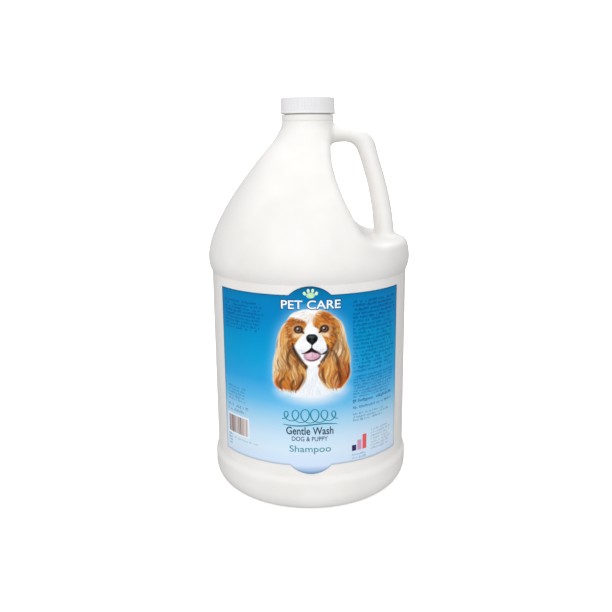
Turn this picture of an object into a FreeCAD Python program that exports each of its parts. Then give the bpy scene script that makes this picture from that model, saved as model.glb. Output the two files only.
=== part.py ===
import FreeCAD, Part

import math
import os

from FreeCAD import Vector

# A one-gallon handled jug of pet shampoo, in millimetres. +Z is up and the origin is the centre of
# the foot on the resting plane. The label faces -Y and the handle stands on the +X side.

# Turned part of the jug, from the foot to the top of the label panel.
PANEL_R = 75.85
BAND_R = 77.9             # plain band under the panel
FOOT_CORNER_R = 17.1      # rounded corner between foot and band
FOOT_INNER_R = 55.0       # inside edge of the ring that the jug stands on
DISH_EDGE_R = 52.5        # where the dished bottom starts
DISH_EDGE_Z = 1.2
DISH_MIDDLE_Z = 5.07      # height of the dish half way to its middle
DISH_TOP_Z = 6.5
BAND_TOP_Z = 25.0
PANEL_LOW_Z = 32.0
PANEL_TOP_Z = 174.6
WALL = 0.9
FLOOR = 1.3               # the bottom is moulded thicker than the walls

# Shoulder: height and radius of the turned shape, before the handle pocket is taken out of it.
SHOULDER = [(PANEL_TOP_Z, 76.0), (179.3, 77.7), (184.5, 78.3), (191.0, 77.6), (200.0, 75.2),
            (214.0, 68.8), (230.0, 59.4), (247.0, 46.9), (262.0, 34.8), (273.0, 25.6),
            (279.0, 21.9), (282.3, 20.3), (285.6, 19.6)]
SHOULDER_TOP_Z = SHOULDER[-1][0]

# Pocket behind the handle: height and distance from the axis of its wall, and the shelf under it.
POCKET_WALL = [(185.0, 49.0), (200.0, 41.2), (215.4, 33.0), (228.4, 26.3), (240.2, 21.4), (250.5, 18.3),
               (260.0, 16.9), (269.0, 17.0), (276.0, 18.6), (283.0, 22.5), (290.0, 28.0)]
POCKET_SHELF_Z = 199.0
POCKET_CORNER_R = 10.0    # rounding between pocket wall and shelf
POCKET_EDGE_R = 4.5       # rounding between pocket and shoulder

# Lines of sight that trace the shoulder: fraction of the way up, height on the axis, rise per radius.
SIGHTS = [(0.0, PANEL_TOP_Z, 0.0), (0.12, 169.0, 0.22), (0.25, 159.0, 0.53), (0.4, 152.0, 0.95),
          (0.55, 156.0, 1.45), (0.68, 180.0, 1.65), (0.8, 214.0, 1.45), (0.9, 248.0, 1.0),
          (1.0, SHOULDER_TOP_Z, 0.0)]
SHOULDER_ROWS = 56
SHOULDER_COLUMNS = 96
NEAREST_SKIN_R = 8.0      # the skin is looked for between these radii, halving the gap each time
FARTHEST_SKIN_R = 90.0
HALVINGS = 36
SLOPE_STEP = 0.2          # half of the step over which a curve's slope is taken

# Handle: centre line in the XZ plane, half thickness in that plane and half width across the hand.
HANDLE = [(12.0, 277.2, 7.0, 10.0), (20.5, 277.2, 7.0, 10.0), (29.2, 276.8, 6.1, 10.1),
          (35.5, 275.3, 6.3, 10.3), (42.0, 271.0, 7.2, 10.5), (45.9, 262.4, 7.0, 10.5),
          (48.8, 253.0, 6.9, 10.5), (52.3, 241.2, 7.0, 10.5), (55.5, 227.2, 7.3, 10.5),
          (57.7, 213.6, 7.6, 10.7), (58.6, 203.0, 8.0, 11.0), (58.8, 194.0, 8.6, 11.6),
          (58.8, 186.0, 9.0, 12.0)]
UPPER_JOIN_R = 1.2        # rounding where the handle runs into the pocket wall and into the shelf
LOWER_JOIN_R = 3.5
UPPER_JOIN_LOW_Z = 250.0  # the upper join lies above this height, the lower one between the next two
LOWER_JOIN_LOW_Z = 180.0
LOWER_JOIN_TOP_Z = 215.0
JOIN_REACH = 15.0         # a join is farther out than this, and wider than this across the hand

# Neck finish: 38 mm, six threads to the inch.
GROOVE_R = 19.1
GROOVE_HEIGHT = 0.3
GROOVE_WALL = 1.0
COLLAR_R = 19.6
COLLAR_LOW_Z = 286.3
COLLAR_TOP_Z = 290.7
COLLAR_EDGE = 0.4
NECK_R = 17.4             # root of the thread
BORE_R = 15.75
BORE_LOW_Z = 287.6
LIP_Z = 300.1
LIP_EDGE_R = 0.6
PITCH = 25.4 / 6
RIDGE_HEIGHT = 1.2
RIDGE_ROOT = 2.4          # width of the ridge at its root and at its crest
RIDGE_CREST = 1.2
RIDGE_SINK = 0.25         # how far the ridge is let into the wall that carries it
NECK_RIDGE_Z = 293.2      # middle of the ridge at its lower end
NECK_TURNS = 1.0

# Screw cap and its liner.
CAP_LOW_Z = 291.4
CAP_TOP_Z = 303.2
CAP_LOW_R = 20.55
CAP_TOP_R = 20.3
CAP_EDGE_R = 0.9          # height of the bevel that ends the ribs
CAP_PLATE = 1.6
LID_R = 19.95             # disc that closes the cap, just inside the ribs
LID_HEIGHT = 2.0
LID_EDGE_R = 0.72
BEAD_R = 20.75
BEAD_HEIGHT = 1.3
BEAD_EDGE_R = 0.4
RIB_COUNT = 96
RIB_DEPTH = 0.3
RIB_EDGES = [(0.0, RIB_DEPTH), (0.3, 0.0), (0.7, 0.0)]    # share of one rib's width, depth there
CAP_INNER_R = 18.85
CAP_RIDGE_DROP = 1.775    # how far the cap's ridge runs under the neck's ridge
CAP_RIDGE_START = 0.45    # turns round from the start of the neck's ridge
CAP_TURNS = 1.0
LINER_R = 17.3
LINER_GAP = 0.02

# Label and contents.
LABEL_GAP = 0.1
LABEL_THICK = 0.1
LABEL_HALF_ANGLE = math.radians(58.3)
LABEL_LOW_Z = 39.9
LABEL_TOP_Z = 167.6
CREST_HALF_WIDTH = 15.0
CREST_RISE = 6.4
TAB_HALF_WIDTH = 15.25
TAB_DROP = 6.4
FILL_GAP = 0.15
FILL_Z = 225.7            # level of 3.785 litres

UP = Vector(0, 0, 1)
ORIGIN = Vector(0, 0, 0)
CLEAR = 120.0             # reach of cutting shapes, clear of everything
DIAGONAL = math.sqrt(0.5)  # share of a radius, across and up, half way round a quarter arc


def point(x, z):
    return Vector(x, 0, z)


def line(a, b):
    return Part.LineSegment(point(*a), point(*b)).toShape()


def arc(a, through, b):
    return Part.Arc(point(*a), point(*through), point(*b)).toShape()


def path(points):
    return [line(a, b) for a, b in zip(points, points[1:])]


def turned(edges):
    """The closed outline turned once round Z, with its seam on the -X side."""
    face = Part.Face(Part.Wire(Part.__sortEdges__(edges)))
    solid = face.revolve(ORIGIN, UP, 360)
    solid.rotate(ORIGIN, UP, 180)
    return solid


def ring(inner_r, outer_r, low_z, top_z):
    corners = [(inner_r, low_z), (outer_r, low_z), (outer_r, top_z), (inner_r, top_z)]
    return turned(path(corners + corners[:1]))


def disc(radius, low_z, top_z):
    return Part.makeCylinder(radius, top_z - low_z, Vector(0, 0, low_z))


def natural_spline(points):
    """A function through (t, value) points whose curvature is continuous."""
    last = len(points) - 1
    t = [p[0] for p in points]
    y = [p[1] for p in points]
    step = [t[i + 1] - t[i] for i in range(last)]
    share = [0.0] * (last + 1)
    load = [0.0] * (last + 1)
    for i in range(1, last):
        pivot = 2 * (t[i + 1] - t[i - 1]) - step[i - 1] * share[i - 1]
        change = (y[i + 1] - y[i]) / step[i] - (y[i] - y[i - 1]) / step[i - 1]
        share[i] = step[i] / pivot
        load[i] = (6 * change - step[i - 1] * load[i - 1]) / pivot
    bend = [0.0] * (last + 1)
    for i in range(last - 1, 0, -1):
        bend[i] = load[i] - share[i] * bend[i + 1]

    def value(at):
        i = 0
        while i < last - 1 and at > t[i + 1]:
            i += 1
        a = (t[i + 1] - at) / step[i]
        b = (at - t[i]) / step[i]
        curve = (a ** 3 - a) * bend[i] + (b ** 3 - b) * bend[i + 1]
        return a * y[i] + b * y[i + 1] + curve * step[i] ** 2 / 6

    return value


shoulder_r = natural_spline(SHOULDER)
pocket_x = natural_spline(POCKET_WALL)
sight_z = natural_spline([(s, z) for s, z, rise in SIGHTS])
sight_rise = natural_spline([(s, rise) for s, z, rise in SIGHTS])


def rounded_max(a, b, radius):
    """The greater of two distances, with the corner between them rounded."""
    return min(max(a, b), -radius) + math.hypot(max(a + radius, 0), max(b + radius, 0))


def distance_to(curve, value, z):
    slope = (curve(z + SLOPE_STEP) - curve(z - SLOPE_STEP)) / (2 * SLOPE_STEP)
    return (value - curve(z)) / math.hypot(1, slope)


def outside(radius, angle, z, inset):
    """Distance outside the shoulder with its pocket, below zero inside it; inset shrinks the shape."""
    body = distance_to(shoulder_r, radius, z) + inset
    wall = distance_to(pocket_x, radius * math.cos(angle), z) + inset
    shelf = z - POCKET_SHELF_Z + inset
    pocket = -rounded_max(-wall, -shelf, POCKET_CORNER_R)
    return rounded_max(body, pocket, POCKET_EDGE_R)


def shoulder_point(fraction, angle, inset):
    """Point of the shoulder's skin on one line of sight, found by halving."""
    base = sight_z(fraction)
    rise = sight_rise(fraction)
    low = NEAREST_SKIN_R
    high = FARTHEST_SKIN_R
    for _ in range(HALVINGS):
        radius = (low + high) / 2
        z = min(base + radius * rise, SHOULDER_TOP_Z + 1)
        if outside(radius, angle, z, inset) < 0:
            low = radius
        else:
            high = radius
    return Vector(radius * math.cos(angle), radius * math.sin(angle), base + radius * rise)


def smoothing_gap(before, at, after):
    """How far a cubic spline surface falls short of a control point, along one direction."""
    return at - (before + at * 4 + after) * (1 / 6)


def shoulder(inset):
    """The shoulder between panel and neck as a solid, with the pocket on its +X side."""
    last = SHOULDER_ROWS
    count = SHOULDER_COLUMNS
    heights = [0, 1 / 3] + list(range(1, last - 2)) + [last - 2 - 1 / 3, last - 2]
    skin_points = []
    for height in heights:
        angles = [math.pi + 2 * math.pi * j / count for j in range(count)]
        skin_points.append([shoulder_point(height / (last - 2), angle, inset) for angle in angles])
    poles = []
    for i, row in enumerate(skin_points):
        poles.append([])
        for j, at in enumerate(row):
            pole = at + smoothing_gap(row[j - 1], at, row[(j + 1) % count])
            if 2 < i < last - 2:
                pole = pole + smoothing_gap(skin_points[i - 1][j], at, skin_points[i + 1][j])
            poles[-1].append(pole)
    surface = Part.BSplineSurface()
    knots_up = list(range(last - 1))
    knots_round = list(range(count + 1))
    times_up = [4] + [1] * (last - 3) + [4]
    times_round = [1] * (count + 1)
    surface.buildFromPolesMultsKnots(poles, times_up, times_round, knots_up, knots_round,
                                     False, True, 3, 3)
    skin = surface.toShape()
    ends = [Part.Face(Part.Wire([edge])) for edge in skin.Edges if edge.BoundBox.ZLength < 0.01]
    shell = Part.Shell([skin] + ends)
    shell.sewShape()
    return Part.Solid(shell)


def lower_body(inset):
    """Foot, band and label panel; the floor is thicker than the wall."""
    floor = FLOOR if inset else 0.0
    corner = (BAND_R - FOOT_CORNER_R, FOOT_CORNER_R)
    corner_r = FOOT_CORNER_R - max(inset, floor)
    side = BAND_R - inset
    panel = PANEL_R - inset
    turn_r = side - corner_r
    low = FOOT_CORNER_R - corner_r
    knee = corner_r * DIAGONAL
    dish = [(0, DISH_TOP_Z + floor), (DISH_EDGE_R / 2, DISH_MIDDLE_Z + floor),
            (DISH_EDGE_R, DISH_EDGE_Z + floor)]
    edges = [arc(*dish)]
    edges += path([dish[2], (FOOT_INNER_R, floor), (turn_r, low)])
    edges.append(arc((turn_r, low), (turn_r + knee, corner[1] - knee), (side, corner[1])))
    edges.append(line((side, corner[1]), (side, BAND_TOP_Z)))
    step = Part.BSplineCurve()
    middle = point((side + panel) / 2, (BAND_TOP_Z + PANEL_LOW_Z) / 2)
    stations = [point(side, BAND_TOP_Z), middle, point(panel, PANEL_LOW_Z)]
    step.interpolate(Points=stations, InitialTangent=UP, FinalTangent=UP)
    edges.append(step.toShape())
    edges += path([(panel, PANEL_LOW_Z), (panel, PANEL_TOP_Z), (0, PANEL_TOP_Z), dish[0]])
    return turned(edges)


def handle(inset):
    """Oval tube along the handle's centre line."""
    centre_line = Part.BSplineCurve()
    centre_line.interpolate([point(x, z) for x, z, thick, wide in HANDLE])
    sections = []
    for x, z, thick, wide in HANDLE:
        along = centre_line.tangent(centre_line.parameter(point(x, z)))[0]
        across = Vector(along.z, 0, -along.x)
        oval = Part.Ellipse(ORIGIN, wide - inset, thick - inset).toShape()
        turn = FreeCAD.Matrix(0, across.x, along.x, x,
                              1, 0, 0, 0,
                              0, across.z, along.z, z,
                              0, 0, 0, 1)
        sections.append(Part.Wire(oval.transformGeometry(turn)))
    return Part.makeLoft(sections, True)


def neck():
    start = SHOULDER_TOP_Z
    edge = LIP_EDGE_R
    points = [(0, start), (GROOVE_R, start), (GROOVE_R, start + GROOVE_HEIGHT), (COLLAR_R, COLLAR_LOW_Z),
              (COLLAR_R, COLLAR_TOP_Z - COLLAR_EDGE), (COLLAR_R - COLLAR_EDGE, COLLAR_TOP_Z),
              (NECK_R, COLLAR_TOP_Z), (NECK_R, LIP_Z - edge)]
    edges = path(points)
    knee = edge * (1 - DIAGONAL)
    edges.append(arc((NECK_R, LIP_Z - edge), (NECK_R - knee, LIP_Z - knee), (NECK_R - edge, LIP_Z)))
    edges += path([(NECK_R - edge, LIP_Z), (0, LIP_Z), (0, start)])
    return turned(edges).fuse(ridge(NECK_R, 1, NECK_RIDGE_Z, NECK_TURNS, 0))


def neck_space():
    start = SHOULDER_TOP_Z - 0.01
    end = LIP_Z + 1
    points = [(0, start), (GROOVE_R - GROOVE_WALL, start), (BORE_R, BORE_LOW_Z), (BORE_R, end), (0, end)]
    return turned(path(points + points[:1]))


def ridge(wall_r, side, middle_z, turns, start_turn):
    """A right-handed thread ridge on a wall: side 1 stands outwards from it and -1 inwards."""
    helix = Part.makeHelix(PITCH, PITCH * turns, wall_r)
    helix.rotate(ORIGIN, UP, 360 * start_turn)
    helix.translate(Vector(0, 0, middle_z))
    root = wall_r - side * RIDGE_SINK
    crest = wall_r + side * RIDGE_HEIGHT
    half_root = RIDGE_ROOT / 2 + RIDGE_SINK * (RIDGE_ROOT - RIDGE_CREST) / 2 / RIDGE_HEIGHT
    half_crest = RIDGE_CREST / 2
    corners = [(root, middle_z - half_root), (crest, middle_z - half_crest), (crest, middle_z + half_crest),
               (root, middle_z + half_root)]
    profile = Part.makePolygon([point(*c) for c in corners] + [point(*corners[0])])
    profile.rotate(ORIGIN, UP, 360 * start_turn)
    return Part.Wire(helix).makePipeShell([profile], True, True)


def join_edges(body, low_z, top_z):
    """Edges where the handle meets the body, found between two heights."""
    found = []
    for edge in body.Edges:
        box = edge.BoundBox
        between = box.ZMin > low_z and box.ZMax < top_z
        if between and box.XMin > JOIN_REACH and box.YLength > JOIN_REACH:
            found.append(edge)
    return found


def outer_body():
    """The outside of the jug as one solid, with the handle blended into it at both ends."""
    body = lower_body(0).fuse([shoulder(0), neck()]).fuse(handle(0)).Solids[0]
    body = body.makeFillet(UPPER_JOIN_R, join_edges(body, UPPER_JOIN_LOW_Z, SHOULDER_TOP_Z))
    return body.makeFillet(LOWER_JOIN_R, join_edges(body, LOWER_JOIN_LOW_Z, LOWER_JOIN_TOP_Z))


def inner_space(inset):
    parts = [shoulder(inset), neck_space(), handle(inset)]
    return lower_body(inset).fuse(parts)


def jug():
    return outer_body().cut(inner_space(WALL))


def ribbed_outline(radius, z):
    points = []
    for i in range(RIB_COUNT):
        for share, depth in RIB_EDGES:
            angle = 2 * math.pi * (i + share) / RIB_COUNT
            reach = radius - depth
            points.append(Vector(reach * math.cos(angle), reach * math.sin(angle), z))
    return Part.makePolygon(points + points[:1])


def level_edges(shape, above_z):
    return [e for e in shape.Edges if e.BoundBox.ZLength < 0.01 and e.BoundBox.ZMin > above_z]


def screw_cap():
    low_ribs = ribbed_outline(CAP_LOW_R, CAP_LOW_Z + BEAD_HEIGHT / 2)
    top_ribs = ribbed_outline(CAP_TOP_R, CAP_TOP_Z - CAP_EDGE_R)
    body = Part.makeLoft([low_ribs, top_ribs], True, True)
    lid = disc(LID_R, CAP_TOP_Z - LID_HEIGHT, CAP_TOP_Z)
    lid = lid.makeFillet(LID_EDGE_R, level_edges(lid, CAP_TOP_Z - LID_HEIGHT / 2))
    bead = disc(BEAD_R, CAP_LOW_Z, CAP_LOW_Z + BEAD_HEIGHT)
    bead = bead.makeFillet(BEAD_EDGE_R, level_edges(bead, 0))
    hollow = disc(CAP_INNER_R, CAP_LOW_Z - 1, CAP_TOP_Z - CAP_PLATE)
    start_z = NECK_RIDGE_Z - CAP_RIDGE_DROP + PITCH * CAP_RIDGE_START
    thread = ridge(CAP_INNER_R, -1, start_z, CAP_TURNS, CAP_RIDGE_START)
    return body.fuse([lid, bead]).cut(hollow).fuse(thread)


def cap_liner():
    return disc(LINER_R, LIP_Z + LINER_GAP, CAP_TOP_Z - CAP_PLATE - LINER_GAP)


def bulge(half_width, rise, edge_z, direction):
    """Disc seen from the front whose rim stands out past the edge of the label."""
    radius = (half_width ** 2 + rise ** 2) / (2 * rise)
    centre = Vector(0, -CLEAR, edge_z + direction * (rise - radius))
    return Part.makeCylinder(radius, CLEAR, centre, Vector(0, 1, 0))


def front_label():
    inner_r = PANEL_R + LABEL_GAP
    sleeve = ring(inner_r, inner_r + LABEL_THICK, PANEL_LOW_Z, PANEL_TOP_Z)
    corner = Vector(-CLEAR, -CLEAR, LABEL_LOW_Z)
    outline = Part.makeBox(2 * CLEAR, CLEAR, LABEL_TOP_Z - LABEL_LOW_Z, corner)
    crest = bulge(CREST_HALF_WIDTH, CREST_RISE, LABEL_TOP_Z, 1)
    tab = bulge(TAB_HALF_WIDTH, TAB_DROP, LABEL_LOW_Z, -1)
    outline = outline.fuse([crest, tab])
    left = Vector(-CLEAR * math.sin(LABEL_HALF_ANGLE), -CLEAR * math.cos(LABEL_HALF_ANGLE), 0)
    right = Vector(-left.x, left.y, 0)
    front = Vector(0, -2 * CLEAR, 0)
    wedge = Part.Face(Part.makePolygon([ORIGIN, left, front, right, ORIGIN])).extrude(UP * LIP_Z)
    return sleeve.common(wedge).common(outline)


def shampoo_fill():
    space = inner_space(WALL + FILL_GAP)
    below = Part.makeBox(2 * CLEAR, 2 * CLEAR, FILL_Z, Vector(-CLEAR, -CLEAR, 0))
    return space.common(below)


os.makedirs("parts", exist_ok=True)
PIECES = {"jug": jug, "screw_cap": screw_cap, "cap_liner": cap_liner, "front_label": front_label,
          "shampoo_fill": shampoo_fill}
for name, make in PIECES.items():
    make().Solids[0].exportStep("parts/" + name + ".step")
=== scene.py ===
import math

import bmesh
import bpy
import numpy as np
from mathutils import Matrix, Vector


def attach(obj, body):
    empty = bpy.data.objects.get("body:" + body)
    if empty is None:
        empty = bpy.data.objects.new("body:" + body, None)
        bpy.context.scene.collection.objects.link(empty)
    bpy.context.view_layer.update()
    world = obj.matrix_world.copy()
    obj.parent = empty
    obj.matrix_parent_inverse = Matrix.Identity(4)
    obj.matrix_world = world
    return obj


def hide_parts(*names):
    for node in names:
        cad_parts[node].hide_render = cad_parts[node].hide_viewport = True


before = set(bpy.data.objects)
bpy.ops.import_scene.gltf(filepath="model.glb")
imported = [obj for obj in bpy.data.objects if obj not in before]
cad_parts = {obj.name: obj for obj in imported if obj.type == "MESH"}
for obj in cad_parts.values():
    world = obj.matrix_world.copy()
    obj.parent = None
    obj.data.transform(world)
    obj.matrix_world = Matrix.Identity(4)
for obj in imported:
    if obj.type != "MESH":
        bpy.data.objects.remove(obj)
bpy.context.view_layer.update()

# Shapes are worked out in millimetres in the row frame and turned into metres when a mesh is made.
MM = 0.001

# Turned parts of the jug.
PANEL_R = 75.85
BAND_R = 77.9
FOOT_CORNER_R = 17.1
FOOT_INNER_R = 55.0
DISH_EDGE_R = 52.5
DISH_EDGE_Z = 1.2
DISH_TOP_Z = 6.5
BAND_TOP_Z = 25.0
PANEL_LOW_Z = 32.0
PANEL_TOP_Z = 174.6
SHOULDER_LOW_R = 76.0
SHOULDER_TOP_Z = 285.6
SHOULDER_TOP_R = 19.6
WALL = 0.9
FLOOR = 1.3

# Neck finish and cap.
GROOVE_R = 19.1
GROOVE_HEIGHT = 0.3
COLLAR_R = 19.6
COLLAR_LOW_Z = 286.3
COLLAR_TOP_Z = 290.7
COLLAR_EDGE_R = 0.4
NECK_R = 17.4
BORE_R = 15.75
BORE_LOW_Z = 287.6
LIP_Z = 300.1
LIP_OUTER_EDGE_R = 0.55
LIP_INNER_EDGE_R = 0.3
PITCH = 25.4 / 6
RIDGE_HEIGHT = 1.2
RIDGE_ROOT = 2.4
RIDGE_CREST = 1.2
NECK_RIDGE_Z = 293.2
CAP_LOW_Z = 291.4
CAP_TOP_Z = 303.2
CAP_LOW_R = 20.55
CAP_TOP_R = 20.3
CAP_PLATE = 1.6
CAP_EDGE_R = 0.9
CAP_INNER_R = 18.85
CAP_RIDGE_DROP = 1.775
CAP_RIDGE_START = 0.45
RIB_COUNT = 96
RIB_DEPTH = 0.3
BEAD_R = 20.75
BEAD_HEIGHT = 1.3
BEAD_LOW_EDGE_R = 0.3
BEAD_TOP_EDGE_R = 0.25
LINER_R = 17.3
LINER_GAP = 0.02
LINER_EDGE_R = 0.2

# Shoulder, pocket and handle, as in the CAD model.
SHOULDER = [(174.6, 76.0), (179.3, 77.7), (184.5, 78.3), (191.0, 77.6), (200.0, 75.2), (214.0, 68.8),
            (230.0, 59.4), (247.0, 46.9), (262.0, 34.8), (273.0, 25.6), (279.0, 21.9), (282.3, 20.3),
            (285.6, 19.6)]
POCKET_WALL = [(185.0, 49.0), (200.0, 41.2), (215.4, 33.0), (228.4, 26.3), (240.2, 21.4),
               (250.5, 18.3), (260.0, 16.9), (269.0, 17.0), (276.0, 18.6), (283.0, 22.5), (290.0, 28.0)]
SHELF_Z = 199.0
POCKET_CORNER_R = 10.0
POCKET_EDGE_R = 4.5
HANDLE = [(12.0, 277.2, 7.0, 10.0), (20.5, 277.2, 7.0, 10.0), (29.2, 276.8, 6.1, 10.1),
          (35.5, 275.3, 6.3, 10.3), (42.0, 271.0, 7.2, 10.5), (45.9, 262.4, 7.0, 10.5),
          (48.8, 253.0, 6.9, 10.5), (52.3, 241.2, 7.0, 10.5), (55.5, 227.2, 7.3, 10.5),
          (57.7, 213.6, 7.6, 10.7), (58.6, 203.0, 8.0, 11.0), (58.8, 194.0, 8.6, 11.6),
          (58.8, 186.0, 9.0, 12.0)]
HANDLE_JOIN_R = 4.5

# How finely the meshes are divided: net cells of the shoulder, and points round the turned parts.
OUTER_STEP = 1.3
INNER_STEP = 2.5
COLUMNS = 176
INNER_COLUMNS = 112
NECK_COLUMNS = 192
LINER_COLUMNS = 128


# ---------------------------------------------------------------- curves and meshes

SAME_ANGLE = 1e-9


def natural_spline(points):
    """A function through (t, value) points whose curvature is continuous, for numpy arrays."""
    t = np.array([p[0] for p in points], float)
    y = np.array([p[1] for p in points], float)
    step = np.diff(t)
    count = len(t)
    system = np.eye(count)
    load = np.zeros(count)
    for i in range(1, count - 1):
        system[i, i - 1:i + 2] = step[i - 1], 2 * (step[i - 1] + step[i]), step[i]
        load[i] = 6 * ((y[i + 1] - y[i]) / step[i] - (y[i] - y[i - 1]) / step[i - 1])
    bend = np.linalg.solve(system, load)

    def value(at):
        at = np.asarray(at, float)
        i = np.clip(np.searchsorted(t, at) - 1, 0, count - 2)
        a = (t[i + 1] - at) / step[i]
        b = (at - t[i]) / step[i]
        curve = (a ** 3 - a) * bend[i] + (b ** 3 - b) * bend[i + 1]
        return a * y[i] + b * y[i + 1] + curve * step[i] ** 2 / 6

    return value


def arc_points(centre, radius, start, end, count):
    """Points of an arc in the (r, z) plane; 0 degrees points outwards and 90 up."""
    angles = np.radians(np.linspace(start, end, count))
    return [(centre[0] + radius * math.cos(a), centre[1] + radius * math.sin(a)) for a in angles]


def spread(start, end, count):
    """Points on a straight line, its start left out."""
    return [(start[0] + (end[0] - start[0]) * k / count, start[1] + (end[1] - start[1]) * k / count)
            for k in range(1, count + 1)]


class Builder:
    """Collects vertices in millimetres and faces, and makes one mesh object of them."""

    def __init__(self):
        self.points = []
        self.faces = []
        self.count = 0

    def add(self, points):
        points = np.asarray(points, float).reshape(-1, 3)
        first = self.count
        self.points.append(points)
        self.count += len(points)
        return np.arange(first, self.count)

    def ring(self, radius, z, columns):
        angles = 2 * math.pi * np.arange(columns) / columns - math.pi
        radius = np.broadcast_to(radius, columns)
        z = np.broadcast_to(z, columns)
        return self.add(np.stack([radius * np.cos(angles), radius * np.sin(angles), z], 1))

    def strip(self, low, high):
        """Quads between two rings of equal length; they face outwards when high is above low."""
        n = len(low)
        for j in range(n):
            k = (j + 1) % n
            self.faces.append((low[j], low[k], high[k], high[j]))

    def join(self, rings):
        """Strips between rings of equal length in order. Returns the first and the last ring."""
        for low, high in zip(rings, rings[1:]):
            self.strip(low, high)
        return rings[0], rings[-1]

    def turn(self, profile, columns, first=None):
        """Rings along an (r, z) profile, which may go on from a first ring."""
        rings = [] if first is None else [first]
        for r, z in profile:
            rings.append(self.ring(r, z, columns))
        return self.join(rings)

    def fan(self, ring, centre, up, middle=None):
        """Triangles from a ring to its middle, which is a new point unless one is given."""
        if middle is None:
            middle = self.add([centre])[0]
        n = len(ring)
        for j in range(n):
            a, b = ring[j], ring[(j + 1) % n]
            self.faces.append((a, b, middle) if up else (b, a, middle))

    def zip(self, low, high):
        """Joins two closed loops round Z that have different counts, low below high.

        Angles that differ by less than SAME_ANGLE count as equal, so rounding never picks the faces.
        """
        points = np.concatenate(self.points)
        loops = []
        for loop in (low, high):
            loop = np.asarray(loop)
            angles = np.arctan2(points[loop, 1], points[loop, 0])
            order = np.argsort(angles)
            loops.append((loop[order], angles[order]))
        (a, at), (b, bt) = loops
        i = j = 0
        while i < len(a) or j < len(b):
            next_a = at[(i + 1) % len(a)] + (2 * math.pi if i + 1 >= len(a) else 0)
            next_b = bt[(j + 1) % len(b)] + (2 * math.pi if j + 1 >= len(b) else 0)
            if j >= len(b) or (i < len(a) and next_a <= next_b + SAME_ANGLE):
                self.faces.append((a[i % len(a)], a[(i + 1) % len(a)], b[j % len(b)]))
                i += 1
            else:
                self.faces.append((a[i % len(a)], b[(j + 1) % len(b)], b[j % len(b)]))
                j += 1

    def make(self, name, smooth=True):
        mesh = bpy.data.meshes.new(name)
        points = np.concatenate(self.points) * MM
        mesh.from_pydata([tuple(p) for p in points], [], [tuple(int(v) for v in f) for f in self.faces])
        mesh.validate()
        mesh.polygons.foreach_set("use_smooth", [smooth] * len(mesh.polygons))
        mesh.update()
        obj = bpy.data.objects.new(name, mesh)
        bpy.context.scene.collection.objects.link(obj)
        return obj


# ---------------------------------------------------------------- the jug's shape as a field

shoulder_r = natural_spline(SHOULDER)
pocket_x = natural_spline(POCKET_WALL)


def rounded_max(a, b, radius):
    """The overlap of two fields, its edge rounded by a radius."""
    corner = np.hypot(np.maximum(a + radius, 0), np.maximum(b + radius, 0))
    return np.minimum(np.maximum(a, b), -radius) + corner


def rounded_min(a, b, radius):
    """Two fields joined, with a fillet of a radius between them."""
    return -rounded_max(-a, -b, radius)


def distance_to(curve, value, z):
    """Distance of points at a height z outside a curve that gives value for z."""
    slope = (curve(z + 0.2) - curve(z - 0.2)) / 0.4
    return (value - curve(z)) / np.hypot(1, slope)


def handle_line():
    """Fine points along the handle with its half thickness and half width."""
    stations = np.array(HANDLE)
    along = np.concatenate([[0], np.cumsum(np.hypot(np.diff(stations[:, 0]), np.diff(stations[:, 1])))])
    fine = np.linspace(0, along[-1], 90)
    return np.stack([natural_spline(list(zip(along, stations[:, k])))(fine) for k in range(4)], 1)


HANDLE_LINE = handle_line()


def handle_field(p, inset):
    """Distance outside the oval tube of the handle."""
    start, end = HANDLE_LINE[:-1], HANDLE_LINE[1:]
    run = end[:, :2] - start[:, :2]
    length2 = (run ** 2).sum(1)
    best = np.full(len(p), 1e9)
    thick = np.ones(len(p))
    wide = np.ones(len(p))
    for k in range(len(run)):
        dx = p[:, 0] - start[k, 0]
        dz = p[:, 2] - start[k, 1]
        t = np.clip((dx * run[k, 0] + dz * run[k, 1]) / length2[k], 0, 1)
        gap = np.hypot(dx - t * run[k, 0], dz - t * run[k, 1])
        near = gap < best
        best = np.where(near, gap, best)
        thick = np.where(near, start[k, 2] + t * (end[k, 2] - start[k, 2]), thick)
        wide = np.where(near, start[k, 3] + t * (end[k, 3] - start[k, 3]), wide)
    thick = thick - inset
    wide = wide - inset
    k0 = np.hypot(best / thick, p[:, 1] / wide)
    k1 = np.hypot(best / thick ** 2, p[:, 1] / wide ** 2)
    return k0 * (k0 - 1) / np.maximum(k1, 1e-6)


def jug_field(p, inset=0.0):
    """Distance outside the shoulder, pocket and handle; inset shrinks the shape."""
    x, z = p[:, 0], p[:, 2]
    body = distance_to(shoulder_r, np.hypot(x, p[:, 1]), z) + inset
    wall = distance_to(pocket_x, x, z) + inset
    shelf = z - SHELF_Z + inset
    pocket = -rounded_max(-wall, -shelf, POCKET_CORNER_R)
    core = rounded_max(body, pocket, POCKET_EDGE_R)
    near = (x > 0) & (np.abs(p[:, 1]) < 24) & (z > 178)
    grip = np.full(len(p), 1e3)
    grip[near] = handle_field(p[near], inset)
    join = np.clip((SHOULDER_TOP_Z - z) * 0.5, 0.3, HANDLE_JOIN_R)
    return rounded_min(core, grip, join)


def gradient(field, p):
    """How the field changes in x, y and z at points p."""
    h = 0.05
    rows = []
    for axis in range(3):
        shift = np.zeros(3)
        shift[axis] = h
        rows.append((field(p + shift) - field(p - shift)) / (2 * h))
    return np.stack(rows, 1)


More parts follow.
